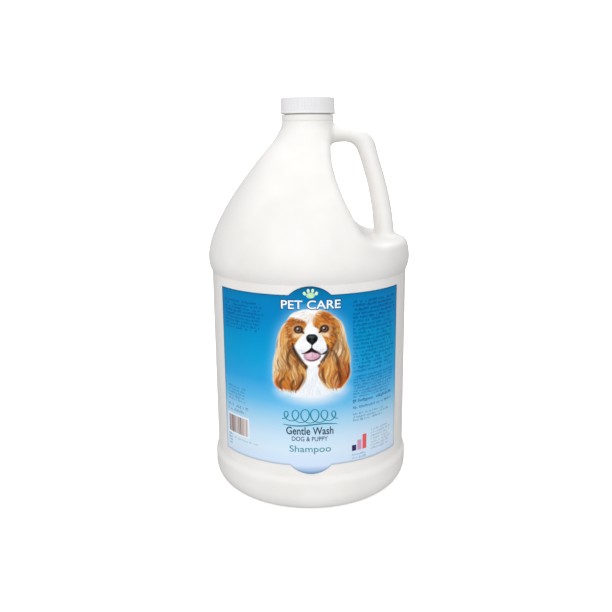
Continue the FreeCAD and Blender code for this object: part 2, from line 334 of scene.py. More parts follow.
def surface_net(field, low, high, step):
    """Vertices and quads of the surface field = 0 in a box, one vertex to a cell that it crosses."""
    axes = [np.arange(low[k], high[k] + step * 0.5, step) for k in range(3)]
    if axes[2][-1] != high[2]:
        axes[2] = np.linspace(low[2], high[2], len(axes[2]))
    shape = tuple(len(a) for a in axes)
    grid = np.stack(np.meshgrid(*axes, indexing="ij"), -1).reshape(-1, 3)
    value = field(grid).reshape(shape)
    cells = tuple(n - 1 for n in shape)
    total = np.zeros(cells + (3,))
    hits = np.zeros(cells)
    quads = []
    index = np.arange(cells[0] * cells[1] * cells[2]).reshape(cells)
    for axis in range(3):
        u, v = (axis + 1) % 3, (axis + 2) % 3
        a = value[tuple(slice(None, -1) if k == axis else slice(None) for k in range(3))]
        b = value[tuple(slice(1, None) if k == axis else slice(None) for k in range(3))]
        where = np.argwhere((a < 0) != (b < 0))
        fa = a[tuple(where.T)]
        fb = b[tuple(where.T)]
        t = fa / (fa - fb)
        spot = np.stack([axes[k][where[:, k]] for k in range(3)], 1)
        spot[:, axis] += t * (axes[axis][where[:, axis] + 1] - axes[axis][where[:, axis]])
        corner_cells = []
        for du, dv in ((-1, -1), (0, -1), (0, 0), (-1, 0)):
            cell = where.copy()
            cell[:, u] += du
            cell[:, v] += dv
            inside = np.all((cell >= 0) & (cell < np.array(cells)), 1)
            np.add.at(total, tuple(cell[inside].T), spot[inside])
            np.add.at(hits, tuple(cell[inside].T), 1)
            corner_cells.append((cell, inside))
        whole = np.all([c[1] for c in corner_cells], 0)
        ids = np.stack([index[tuple(c[0][whole].T)] for c in corner_cells], 1)
        inward = (fa[whole] < 0)
        quads.append(np.where(inward[:, None], ids, ids[:, ::-1]))
    used = hits > 0
    number = np.full(cells, -1)
    number[used] = np.arange(used.sum())
    points = total[used] / hits[used][:, None]
    faces = number.reshape(-1)[np.concatenate(quads)]
    return points, faces


def settle(field, points, faces, fixed, rounds=6):
    """Evens out the vertices and puts them exactly on the surface; fixed ones only keep their height."""
    a = faces.reshape(-1)
    b = np.roll(faces, -1, 1).reshape(-1)
    for _ in range(rounds):
        total = np.zeros_like(points)
        count = np.zeros(len(points))
        for s, e in ((a, b), (b, a)):
            np.add.at(total, s, points[e])
            np.add.at(count, s, 1)
        move = total / np.maximum(count, 1)[:, None] - points
        slope = gradient(field, points)
        slope /= np.maximum(np.linalg.norm(slope, axis=1), 1e-6)[:, None]
        move -= slope * (move * slope).sum(1)[:, None]
        move[fixed] = 0
        points = points + move * 0.5
        for _ in range(2):
            slope = gradient(field, points)
            slope[fixed, 2] = 0
            size = np.maximum((slope ** 2).sum(1), 1e-4)
            points = points - slope * np.clip(field(points) / size, -0.8, 0.8)[:, None]
    return points


def boundary(faces):
    """The vertices on open edges."""
    a = faces.reshape(-1)
    b = np.roll(faces, -1, 1).reshape(-1)
    key = np.minimum(a, b) * (faces.max() + 1) + np.maximum(a, b)
    _, first, counts = np.unique(key, return_index=True, return_counts=True)
    single = first[counts == 1]
    return np.unique(np.concatenate([a[single], b[single]]))


# ---------------------------------------------------------------- the jug

def foot_profile(inset):
    """(r, z) points from the middle of the bottom to the top of the panel; inset gives the inside."""
    floor = FLOOR if inset else 0.0
    corner = (BAND_R - FOOT_CORNER_R, FOOT_CORNER_R)
    corner_r = FOOT_CORNER_R - max(inset, floor)
    side = BAND_R - inset
    panel = PANEL_R - inset
    turn_r = side - corner_r
    low = FOOT_CORNER_R - corner_r
    points = []
    for k in range(1, 13):
        r = DISH_EDGE_R * k / 12
        sag = 1 - (r / DISH_EDGE_R) ** 2
        points.append((r, DISH_EDGE_Z + (DISH_TOP_Z - DISH_EDGE_Z) * sag + floor))
    points += [(FOOT_INNER_R - step, rise + floor) for step, rise in ((1.2, 0.35), (0.3, 0.05), (0.0, 0.0))]
    points += spread((FOOT_INNER_R, floor), (turn_r, low), 2)
    points += arc_points((turn_r, corner[1]), corner_r, -90, 0, 15)[1:]
    points += spread((side, corner[1]), (side, BAND_TOP_Z), 3)
    for k in range(1, 9):
        t = k / 8
        ease = t * t * (3 - 2 * t)
        points.append((side + (panel - side) * ease, BAND_TOP_Z + (PANEL_LOW_Z - BAND_TOP_Z) * t))
    points += spread((panel, PANEL_LOW_Z), (panel, PANEL_TOP_Z - 0.5), 14)
    points += [(panel, PANEL_TOP_Z - 0.25)]
    return points


def ridge_height(angle, z, middle_z, start_turn, turns):
    """How far a thread ridge stands out at points of a wall, with its ends run out smoothly."""
    best = np.zeros(np.broadcast(angle, z).shape)
    for wrap in range(-1, 3):
        turn = angle / (2 * math.pi) + wrap - start_turn
        inside = (turn > -0.02) & (turn < turns + 0.02)
        off = np.abs(z - (middle_z + PITCH * turn))
        flank = (RIDGE_ROOT - RIDGE_CREST) / 2
        rise = np.clip((RIDGE_ROOT / 2 - off) / flank, 0, 1)
        ends = np.clip((turn + 0.02) / 0.05, 0, 1) * np.clip((turns + 0.02 - turn) / 0.05, 0, 1)
        best = np.maximum(best, np.where(inside, RIDGE_HEIGHT * rise * ends, 0))
    return best


def threaded_rings(builder, wall_r, side, rows, columns, middle_z, start_turn, turns, first=None):
    """Rings up a threaded wall: side 1 stands outwards and -1 inwards."""
    angles = 2 * math.pi * np.arange(columns) / columns - math.pi
    rings = [] if first is None else [first]
    for z in rows:
        height = ridge_height(np.mod(angles, 2 * math.pi), z, middle_z, start_turn, turns)
        rings.append(builder.ring(wall_r + side * height, z, columns))
    return builder.join(rings)


def net_part(builder, inset, step, low_z, high_z):
    """The shoulder with its pocket and handle; returns its lower and upper open loops."""
    def field(p):
        return jug_field(p, inset)

    low = (-82.0 + 0.37, -82.0 + 0.41, low_z)
    high = (82.0, 82.0, high_z)
    points, faces = surface_net(field, low, high, step)
    rim = boundary(faces)
    points = settle(field, points, faces, rim)
    ids = builder.add(points)
    lower = ids[rim[points[rim, 2] < (low_z + high_z) / 2]]
    upper = ids[rim[points[rim, 2] > (low_z + high_z) / 2]]
    quads = ids[faces]
    if inset:
        quads = quads[:, ::-1]
    builder.faces.extend(map(tuple, quads))
    return lower, upper


def neck_profiles():
    """(r, z) points from the shoulder to the thread, and from the lip down the bore."""
    base = SHOULDER_TOP_Z
    low_z, top_z = COLLAR_LOW_Z + 0.2, COLLAR_TOP_Z - COLLAR_EDGE_R
    collar = [(GROOVE_R + 0.1, base + 0.15), (GROOVE_R, base + GROOVE_HEIGHT),
              (GROOVE_R + 0.12, base + 0.45), (COLLAR_R - 0.12, COLLAR_LOW_Z), (COLLAR_R, low_z)]
    collar += spread((COLLAR_R, low_z), (COLLAR_R, top_z), 4)
    collar += arc_points((COLLAR_R - COLLAR_EDGE_R, top_z), COLLAR_EDGE_R, 0, 90, 5)[1:]
    collar += spread((COLLAR_R - COLLAR_EDGE_R, COLLAR_TOP_Z), (NECK_R + 0.2, COLLAR_TOP_Z), 2)
    collar += [(NECK_R + 0.05, COLLAR_TOP_Z + 0.05), (NECK_R, COLLAR_TOP_Z + 0.2)]
    outer_r, inner_r = NECK_R - LIP_OUTER_EDGE_R, BORE_R + LIP_INNER_EDGE_R
    bore_top_z = LIP_Z - LIP_INNER_EDGE_R
    lip = arc_points((outer_r, LIP_Z - LIP_OUTER_EDGE_R), LIP_OUTER_EDGE_R, 0, 90, 6)
    lip += spread((outer_r, LIP_Z), (inner_r, LIP_Z), 2)
    lip += arc_points((inner_r, bore_top_z), LIP_INNER_EDGE_R, 90, 180, 4)[1:]
    lip += spread((BORE_R, bore_top_z), (BORE_R, BORE_LOW_Z), 5)
    lip += spread((BORE_R, BORE_LOW_Z), (GROOVE_R - 1.0, base + 0.4), 3)
    return collar, lip


def make_jug():
    """One closed skin: the outside from the bottom to the lip, and the inside back down."""
    b = Builder()
    low_ring, panel_top = b.turn(foot_profile(0.0), COLUMNS)
    b.fan(low_ring[::-1], (0, 0, DISH_TOP_Z), True)
    step_ring = b.ring(SHOULDER_LOW_R - 0.04, PANEL_TOP_Z, COLUMNS)
    b.strip(panel_top, step_ring)
    lower, upper = net_part(b, 0.0, OUTER_STEP, PANEL_TOP_Z + 0.2, SHOULDER_TOP_Z - 0.35)
    b.zip(step_ring, lower)
    neck_low = b.ring(SHOULDER_TOP_R, SHOULDER_TOP_Z, NECK_COLUMNS)
    b.zip(upper, neck_low)
    collar, lip = neck_profiles()
    _, ring = b.turn(collar, NECK_COLUMNS, neck_low)
    rows = np.linspace(COLLAR_TOP_Z + 0.6, LIP_Z - 0.7, 58)
    _, ring = threaded_rings(b, NECK_R, 1, rows, NECK_COLUMNS, NECK_RIDGE_Z, 0.0, 1.0, ring)
    _, ring = b.turn(lip, NECK_COLUMNS, ring)
    inner_low, inner_high = net_part(b, WALL, INNER_STEP, PANEL_TOP_Z + 0.2, SHOULDER_TOP_Z - 0.9)
    before = len(b.faces)
    b.zip(inner_high, ring)
    flip(b, before)
    before = len(b.faces)
    first, last = b.turn(foot_profile(WALL), INNER_COLUMNS)
    b.fan(first[::-1], (0, 0, DISH_TOP_Z + FLOOR), True)
    b.zip(last, inner_low)
    flip(b, before)
    return b.make("jug_shell")


def flip(builder, start):
    """Turns round all faces from that number on."""
    builder.faces[start:] = [face[::-1] for face in builder.faces[start:]]


# ---------------------------------------------------------------- cap and liner

def ribbed_ring(builder, radius, z, depth, columns):
    """A ring whose radius dips between the ribs by depth."""
    turns = np.arange(columns) * RIB_COUNT / columns
    phase = np.abs((turns % 1) - 0.5) * 2
    dip = np.clip((phase - 0.55) / 0.35, 0, 1)
    dip = dip * dip * (3 - 2 * dip)
    return builder.ring(radius - depth * dip, z, columns)


def make_cap():
    """One closed skin: bead, ribs and top plate outside, and the thread and ceiling inside."""
    b = Builder()
    columns = RIB_COUNT * 8
    low = CAP_LOW_Z
    bead_r = BEAD_R - BEAD_LOW_EDGE_R
    bead = [(CAP_INNER_R + 0.35, low), (bead_r, low)]
    bead += arc_points((bead_r, low + BEAD_LOW_EDGE_R), BEAD_LOW_EDGE_R, -90, 0, 4)[1:]
    bead += [(BEAD_R, low + 0.65), (BEAD_R, low + BEAD_HEIGHT - 0.3)]
    edge = BEAD_TOP_EDGE_R
    bead += arc_points((BEAD_R - edge, low + BEAD_HEIGHT - edge), edge, 0, 90, 4)[1:]
    mouth, ring = b.turn(bead, columns)
    rib_low = low + BEAD_HEIGHT + 0.05
    rib_top = CAP_TOP_Z - CAP_EDGE_R
    rings = [ring]
    for t in np.concatenate([[0.0, 0.03, 0.06, 0.1], np.linspace(0.18, 0.9, 6), [0.94, 0.97, 1.0]]):
        z = rib_low + (rib_top - rib_low) * t
        radius = CAP_LOW_R - 0.08 + (CAP_TOP_R - CAP_LOW_R) * t
        fade = min(t / 0.06, 1) * min((1 - t) / 0.04 + 0.5, 1)
        rings.append(ribbed_ring(b, radius, z, RIB_DEPTH * fade, columns))
    top_arc = arc_points((CAP_TOP_R - 0.08 - CAP_EDGE_R, rib_top), CAP_EDGE_R, 0, 90, 7)[1:]
    for k, (r, z) in enumerate(top_arc):
        rings.append(ribbed_ring(b, r, z, RIB_DEPTH * max(0.5 - k * 0.14, 0), columns))
    _, edge = b.join(rings)
    _, dimple = b.turn([(16.9, CAP_TOP_Z), (16.6, CAP_TOP_Z - 0.12)], NECK_COLUMNS)
    b.zip(edge, np.array(dimple) - NECK_COLUMNS)
    centre = [(r, CAP_TOP_Z - drop) for r, drop in ((12.0, 0.14), (6.0, 0.16), (1.6, 0.16), (1.3, 0.04))]
    _, ring = b.turn(centre, NECK_COLUMNS, dimple)
    b.fan(ring, (0, 0, CAP_TOP_Z - 0.02), True)
    before = len(b.faces)
    ceiling_z = CAP_TOP_Z - CAP_PLATE
    rows = np.linspace(low + 0.35, ceiling_z - 0.3, 64)
    start_z = NECK_RIDGE_Z - CAP_RIDGE_DROP + PITCH * CAP_RIDGE_START
    first, last = threaded_rings(b, CAP_INNER_R, -1, rows, NECK_COLUMNS, start_z, CAP_RIDGE_START, 1.0)
    b.zip(mouth, first)
    _, ring = b.turn([(r, ceiling_z) for r in (CAP_INNER_R - 0.3, 17.0, 8.0)], NECK_COLUMNS, last)
    b.fan(ring, (0, 0, ceiling_z), True)
    flip(b, before)
    return b.make("cap_shell")


def make_liner():
    """The foam disc. Its underside is a little hollow inside the ring that meets the lip."""
    b = Builder()
    low, high = LIP_Z + LINER_GAP, CAP_TOP_Z - CAP_PLATE - LINER_GAP
    edge, edge_r = LINER_EDGE_R, LINER_R - LINER_EDGE_R
    profile = [(5.0, low + 0.05), (BORE_R - 0.6, low + 0.05), (BORE_R - 0.1, low), (edge_r, low)]
    profile += arc_points((edge_r, low + edge), edge, -90, 0, 4)[1:]
    profile += arc_points((edge_r, high - edge), edge, 0, 90, 4)
    profile += [(12.0, high), (5.0, high)]
    first, last = b.turn(profile, LINER_COLUMNS)
    b.fan(first[::-1], (0, 0, low + 0.05), True)
    b.fan(last, (0, 0, high), True)
    return b.make("liner_disc")


# ---------------------------------------------------------------- portrait on the label

# The spaniel is painted in millimetres from the middle of its nose: u to the right and v upwards.
NOSE_S, NOSE_Z = 1.2, 136.0
DOG_SEED = 11

WHITE = (250, 251, 252)
CREAM = (243, 222, 186)
GOLD = (228, 174, 94)
AMBER = (216, 134, 50)
RUST = (194, 84, 26)
CHESTNUT = (146, 74, 30)
BROWN = (92, 50, 26)
SOOT = (34, 26, 26)
ROSE = (226, 178, 200)
GLOW_NEAR = (244, 248, 232)
GLOW_FAR = (120, 200, 250)

HEAD = [(-8.9, 20.4), (-2.8, 21.6), (4.8, 21.4), (11.9, 19.0), (16.4, 13.7), (17.0, 6.1), (14.9, -1.0),
        (12.4, -7.1), (8.9, -14.3), (5.3, -18.3), (0.3, -19.9), (-4.3, -18.1), (-8.3, -13.2),
        (-11.6, -7.6), (-14.4, -1.0), (-16.4, 6.1), (-17.3, 12.7), (-14.4, 17.6)]
LEFT_PATCH = [(-17.0, 12.5), (-13.5, 15.6), (-9.0, 14.6), (-5.6, 13.4), (-3.6, 10.8), (-4.2, 7.8),
              (-6.3, 4.0), (-8.9, 0.3), (-11.4, -3.4), (-13.3, -5.6), (-15.4, -1.0), (-17.0, 6.0)]
RIGHT_PATCH = [(5.0, 20.2), (2.0, 16.6), (0.6, 12.6), (2.0, 9.8), (5.2, 6.2), (7.7, 1.6), (10.0, -3.6),
               (12.0, -7.6), (15.2, -2.0), (17.2, 6.0), (16.6, 13.4), (12.0, 19.0)]
CHEST = [(-5.2, -15.0), (5.6, -15.0), (7.2, -24.0), (9.4, -34.0), (14.0, -41.0), (4.0, -45.0),
         (-6.0, -45.0), (-16.0, -42.0), (-8.6, -34.0), (-6.2, -24.0)]

# Hairs lean from their place's own colour to one of these by a share.
HAIR_SHADES = [(CHESTNUT, 0.7), (BROWN, 0.7), (RUST, 0.35), (GOLD, 0.2), (AMBER, 0.3), (CREAM, 0.5),
               (CREAM, 0.8), (GOLD, 0.0), (BROWN, 0.45)]

# Guide lines of each ear from its root to its tip: outer edge, then inner edge.
LEFT_EAR = ([(-14.0, 16.6), (-21.6, 7.4), (-25.0, -3.6), (-26.8, -13.6), (-27.9, -23.6), (-28.0, -32.0),
             (-24.0, -38.0)],
            [(-12.6, 13.5), (-15.6, 6.0), (-14.6, -2.5), (-11.0, -11.0), (-5.8, -19.2), (-5.2, -28.6),
             (-9.4, -38.4)])
RIGHT_EAR = ([(12.5, 18.4), (20.5, 11.5), (23.7, 2.6), (26.1, -7.4), (27.9, -18.0), (27.8, -28.4),
              (21.6, -37.4)],
             [(13.6, 13.0), (15.4, 7.5), (14.6, 0.0), (11.8, -8.6), (6.2, -17.0), (5.8, -27.6),
              (11.4, -37.6)])

# Shadows between the locks of hair.
DARK_LOCKS = [[(-7.2, -25.0), (-6.6, -29.0), (-8.6, -33.0), (-10.8, -37.0)],
              [(-15.0, -7.0), (-17.6, -14.0), (-16.4, -21.0)],
              [(-20.4, -29.0), (-23.4, -33.0), (-21.8, -38.0)],
              [(-12.6, -30.0), (-14.8, -34.0), (-14.0, -38.6)],
              [(15.4, -9.0), (18.6, -16.0), (20.0, -23.0)],
              [(18.0, -24.0), (20.6, -29.0), (20.4, -35.0)],
              [(26.8, -19.0), (27.4, -25.0), (25.2, -31.0)],
              [(8.0, -21.0), (7.6, -27.0), (9.6, -33.0)]]

# Colours of the ears: share across from the outer edge, share down from the root, colour.
LEFT_EAR_TINTS = [(0.0, 0.05, AMBER), (1.0, 0.1, CHESTNUT), (0.0, 0.35, CREAM), (0.5, 0.3, GOLD),
                  (1.0, 0.38, BROWN), (0.1, 0.6, CREAM), (0.5, 0.55, GOLD), (0.95, 0.56, BROWN),
                  (0.15, 0.76, GOLD), (0.6, 0.72, GOLD), (1.0, 0.74, GOLD), (0.1, 0.9, RUST),
                  (0.5, 0.9, AMBER), (0.3, 1.0, RUST), (0.75, 0.98, RUST), (1.0, 0.9, BROWN)]
RIGHT_EAR_TINTS = [(0.2, 0.0, AMBER), (1.0, 0.05, BROWN), (0.05, 0.3, CREAM), (0.5, 0.3, GOLD),
                   (1.0, 0.35, CHESTNUT), (0.05, 0.55, GOLD), (0.4, 0.55, CREAM), (0.95, 0.52, BROWN),
                   (0.05, 0.8, RUST), (0.35, 0.78, CHESTNUT), (0.7, 0.72, GOLD), (1.0, 0.76, AMBER),
                   (0.1, 0.95, RUST), (0.5, 0.95, RUST), (0.95, 0.95, GOLD)]


def smooth(low, high, value):
    """0 below low, 1 above high and an even slope between them."""
    t = np.clip((value - low) / (high - low), 0, 1)
    return t * t * (3 - 2 * t)


def sweep(points, count, closed=False):
    """Evenly numbered points on a smooth curve through the given ones."""
    points = np.array(points, float)
    last = len(points)
    t = np.linspace(0, last if closed else last - 1, count, endpoint=not closed)
    i = np.minimum(t.astype(int), last - 1 if closed else last - 2)
    f = (t - i)[:, None]
    if closed:
        p = [points[(i + k) % last] for k in (-1, 0, 1, 2)]
    else:
        p = [points[np.clip(i + k, 0, last - 1)] for k in (-1, 0, 1, 2)]
    return 0.5 * (2 * p[1] + (p[2] - p[0]) * f + (2 * p[0] - 5 * p[1] + 4 * p[2] - p[3]) * f ** 2
                  + (3 * p[1] - p[0] - 3 * p[2] + p[3]) * f ** 3)


def gap_to_line(u, v, start, end):
    """Distance of points from a straight line, and the share along it where each one is nearest."""
    (x0, y0), (x1, y1) = start, end
    length2 = max((x1 - x0) ** 2 + (y1 - y0) ** 2, 1e-9)
    t = np.clip(((u - x0) * (x1 - x0) + (v - y0) * (y1 - y0)) / length2, 0, 1)
    return np.hypot(u - x0 - t * (x1 - x0), v - y0 - t * (y1 - y0)), t


class Canvas:
    """Colours on a grid of u and v, with an opacity that is zero where nothing is painted."""

    def __init__(self, u, v):
        self.u = u
        self.v = v
        self.rgb = np.zeros((len(v), len(u), 3)) + np.array(WHITE)
        self.alpha = np.zeros((len(v), len(u)))

    def window(self, low, high):
        """The part of the grid between two corners, and the u and v of its points."""
        columns = slice(*np.searchsorted(self.u, (low[0], high[0])))
        rows = slice(*np.searchsorted(self.v, (low[1], high[1])))
        u, v = np.meshgrid(self.u[columns], self.v[rows])
        return (rows, columns), u, v

    def lay(self, spot, mask, tint):
        """Covers a part of the grid with a colour, as far as the mask says."""
        self.rgb[spot] += mask[..., None] * (np.array(tint) - self.rgb[spot])
        self.alpha[spot] = np.maximum(self.alpha[spot], mask)

    def distance(self, outline, margin):
        """Distance outside a closed outline, below zero inside it, in the window around it."""
        spot, u, v = self.window(outline.min(0) - margin, outline.max(0) + margin)
        best = np.full(u.shape, 1e9)
        inside = np.zeros(u.shape, bool)
        for (x0, y0), (x1, y1) in zip(outline, np.roll(outline, -1, 0)):
            best = np.minimum(best, gap_to_line(u, v, (x0, y0), (x1, y1))[0])
            if y0 != y1:
                inside ^= ((y0 > v) != (y1 > v)) & (u < x0 + (v - y0) * (x1 - x0) / (y1 - y0))
        return spot, np.where(inside, -best, best)

    def shape(self, points, tint, soft=0.5, strength=1.0):
        """A filled shape with a smooth outline through the points."""
        spot, gap = self.distance(sweep(points, 6 * len(points), True), soft)
        self.lay(spot, strength * smooth(soft, -soft, gap), tint)

    def blob(self, centre, size, tint, soft=0.3, strength=1.0, tilt=0.0):
        """A filled ellipse of the given half sizes, turned by tilt degrees."""
        reach = max(size) * (1 + soft)
        spot, u, v = self.window(np.array(centre) - reach, np.array(centre) + reach)
        turn = math.radians(tilt)
        along = (u - centre[0]) * math.cos(turn) + (v - centre[1]) * math.sin(turn)
        across = (v - centre[1]) * math.cos(turn) - (u - centre[0]) * math.sin(turn)
        gap = np.hypot(along / size[0], across / size[1])
        self.lay(spot, strength * smooth(1 + soft, 1 - soft, gap), tint)

    def stroke(self, points, width, tint, strength=1.0, soft=0.25):
        """A line that is widest in its middle and thins out to its ends."""
        points = np.asarray(points)
        margin = width + soft
        spot, u, v = self.window(points.min(0) - margin, points.max(0) + margin)
        mask = np.zeros(u.shape)
        share = np.linspace(0, 1, len(points))
        for k in range(len(points) - 1):
            gap, t = gap_to_line(u, v, points[k], points[k + 1])
            at = share[k] + t * (share[k + 1] - share[k])
            half = width / 2 * np.sqrt(np.clip(4 * at * (1 - at), 0, 1))
            mask = np.maximum(mask, smooth(soft, -soft, gap - half))
        self.lay(spot, strength * mask, tint)


def tint_at(tints, across, down):
    """Colour between the listed ones, the nearest counting most."""
    weights = np.array([1 / (0.01 + (across - a) ** 2 + (down - d) ** 2 * 4) ** 2 for a, d, tint in tints])
    return (weights[:, None] * np.array([tint for a, d, tint in tints])).sum(0) / weights.sum()


def paint_ear(canvas, guides, tints, count, rng):
    """An ear of long wavy hair: a soft base and then strands from its root to its tip."""
    outer, inner = [sweep(line, 60) for line in guides]
    outline = np.concatenate([outer, inner[::-1]])
    spot, gap = canvas.distance(outline, 1.0)
    canvas.lay(spot, smooth(0.6, -0.9, gap), GOLD)
    for _ in range(count):
        across = rng.uniform(0.0, 1.0)
        length = rng.uniform(0.12, 0.3)
        start = rng.uniform(0.0, 1.04 - length)
        down = start + length * np.linspace(0, 1, 7)
        sway = 0.06 * np.sin(math.pi * down * 6 + 5 * across + rng.normal() * 0.5)
        share = np.clip(across + sway + 0.07 * rng.normal() * (down - start) / length, -0.03, 1.03)[:, None]
        place = np.clip(down, 0, 1) * 59
        a, b = [np.stack([np.interp(place, np.arange(60), guide[:, k]) for k in range(2)], 1)
                for guide in (outer, inner)]
        line = a + share * (b - a)
        line[:, 1] -= np.maximum(down - 1, 0) * 50
        tint = tint_at(tints, across, start + length / 2)
        other, lean = HAIR_SHADES[rng.integers(len(HAIR_SHADES))]
        tint = tint + lean * (np.array(other) - tint)
        canvas.stroke(line, rng.uniform(0.45, 1.3), tint, rng.uniform(0.5, 0.9))


def paint_fur(canvas, outline, tints, count, rng, long=3.2):
    """Short hair inside an outline, combed outwards and down from the middle of the forehead."""
    edge = sweep(outline, 6 * len(outline), True)
    low, high = edge.min(0), edge.max(0)
    made = 0
    while made < count:
        at = rng.uniform(low, high)
        turn = np.diff(np.unwrap(np.arctan2(*(np.vstack([edge, edge[:1]]) - at).T)))
        if abs(turn.sum()) < 3:
            continue
        made += 1
        flow = np.array([at[0] * 0.09, -0.75 + 0.05 * max(at[1] - 8, 0)])
        flow = flow / np.linalg.norm(flow) * rng.uniform(0.6, 1.2) * long
        bend = rng.normal() * 0.18
        side = np.array([-flow[1], flow[0]]) * bend
        line = np.array([at, at + flow * 0.5 + side, at + flow])
        tint = np.array(tints[rng.integers(len(tints))]) * rng.uniform(0.85, 1.12)
        width = rng.uniform(0.35, 0.8)
        canvas.stroke(sweep(line, 5), width, np.clip(tint, 12, 252), rng.uniform(0.35, 0.7))


def paint_eye(canvas, u, v, side):
    """An eye with its pale surround; side is 1 where the nose is to the right of it."""
    for blob in [((u - side * 0.6, v - 0.8), (4.9, 4.6), (236, 190, 140), 0.45, 0.7),
                 ((u - side * 0.8, v - 4.0), (3.4, 1.5), CREAM, 0.5, 0.8, side * 30),
                 ((u, v), (3.4, 2.9), BROWN, 0.25, 0.95),
                 ((u, v), (2.9, 2.5), SOOT, 0.2),
                 ((u, v - 0.1), (2.0, 1.9), (132, 96, 76), 0.25),
                 ((u, v), (1.15, 1.2), SOOT, 0.25),
                 ((u - 0.5, v + 0.6), (0.55, 0.5), WHITE, 0.4, 0.95),
                 ((u + side * 2.9, v - 1.9), (1.5, 0.8), SOOT, 0.4, 0.9, -side * 38)]:
        canvas.blob(*blob)


def paint_muzzle(canvas, rng):
    """The white cheeks with their shade and the rows of whisker spots."""
    canvas.shape([(-3.7, 9.5), (0.5, 9.0), (3.6, 7.4), (7.6, 1.8), (10.2, -4.6), (9.6, -10.0), (6.6, -14.6),
                  (2.6, -18.2), (-2.2, -18.2), (-6.4, -14.0), (-10.2, -9.4), (-11.4, -4.0), (-7.6, 2.6)],
                 WHITE, 0.7)
    for blob in [((-6.4, -9.0), (3.6, 1.2), (206, 208, 220), 0.8, 0.55, -18),
                 ((6.8, -8.6), (3.0, 1.2), (206, 208, 220), 0.8, 0.55, 24),
                 ((5.4, 1.0), (1.6, 4.0), (222, 224, 232), 0.9, 0.5, 30),
                 ((-4.8, 1.0), (1.4, 3.6), (226, 228, 234), 0.9, 0.45, -32)]:
        canvas.blob(*blob)
    for side in (-1, 1):
        for row in range(3):
            for k in range(4):
                spot = (side * (3.2 + 1.5 * k) + rng.normal() * 0.2, -4.0 - 1.3 * row - 0.3 * k)
                canvas.blob(spot, (0.28, 0.24), (150, 150, 160), 0.6, 0.45)


def paint_mouth(canvas):
    """The open mouth with its tongue, and the dark lines of the lips round it."""
    for blob in [((0.2, -12.0), (5.8, 4.1), (120, 60, 70), 0.2, 0.9, 6),
                 ((0.0, -11.9), (5.2, 3.7), ROSE, 0.22, 1.0, 6),
                 ((-1.8, -11.2), (1.8, 1.3), (240, 208, 224), 0.7, 0.7),
                 ((2.4, -13.6), (2.0, 1.1), (206, 150, 176), 0.7, 0.6, 20)]:
        canvas.blob(*blob)
    canvas.stroke(sweep([(0.1, -9.8), (0.3, -12.0), (0.0, -14.2)], 6), 0.5, (190, 130, 156), 0.7)
    canvas.shape([(-4.4, -10.4), (-2.4, -8.0), (-0.2, -5.9), (2.0, -8.0), (4.2, -10.2), (1.8, -9.9),
                  (-0.1, -9.2), (-2.0, -9.9)], SOOT, 0.3)
    for line, width, strength in [
            ([(-7.6, -10.4), (-5.6, -10.3), (-3.4, -8.9), (-1.6, -7.3)], 0.9, 0.85),
            ([(1.4, -7.4), (3.6, -9.3), (6.0, -11.0), (8.6, -10.6)], 0.9, 0.85),
            ([(-3.8, -14.4), (0.0, -15.6), (4.4, -14.2), (6.4, -12.2)], 0.8, 0.75)]:
        canvas.stroke(sweep(line, 8), width, SOOT, strength)
    canvas.stroke([(0.0, -3.6), (-0.1, -5.0), (-0.2, -6.6)], 0.8, SOOT)


def paint_nose(canvas):
    """The black nose with its shine and nostrils."""
    canvas.shape([(-4.0, 1.6), (-2.4, 3.5), (0.2, 3.8), (2.6, 3.4), (4.2, 1.4), (3.6, -1.2), (1.6, -3.2),
                  (0.2, -4.4), (-1.2, -3.2), (-3.4, -1.2)], (22, 24, 26), 0.3)
    canvas.blob((-0.4, 1.9), (2.3, 0.9), (92, 104, 104), 0.8, 0.75)
    canvas.blob((0.1, -0.6), (0.5, 1.8), (84, 96, 92), 0.8, 0.5)
    for side in (-1, 1):
        canvas.blob((side * 2.3, -0.2), (1.0, 0.8), (4, 5, 6), 0.4, 1.0, side * 30)


def blurred(values, reach):
    """Values averaged three times over a square of that many cells each way."""
    for axis in (0, 1) * 3:
        values = np.mean([np.roll(values, k, axis) for k in range(-reach, reach + 1)], axis=0)
    return values


def with_glow(canvas):
    """Linear colours and opacity of the canvas, with light round the head and ears."""
    solid = canvas.alpha
    near = np.clip(blurred(solid, 2) * 1.7, 0, 1)
    far = np.clip(blurred(solid, 8) * 1.25, 0, 1) * 0.8
    glow = np.array(GLOW_FAR) + near[..., None] ** 2 * (np.array(GLOW_NEAR) - np.array(GLOW_FAR))
    under = np.maximum(near ** 2 * 0.9, far) * smooth(-46.0, -36.0, canvas.v)[:, None]
    alpha = solid + (1 - solid) * under
    mixed = solid[..., None] * canvas.rgb + ((1 - solid) * under)[..., None] * glow
    screen = mixed / np.maximum(alpha, 1e-6)[..., None] / 255
    linear = np.where(screen <= 0.04045, screen / 12.92, ((screen + 0.055) / 1.055) ** 2.4)
    return np.concatenate([linear, alpha[..., None]], -1)


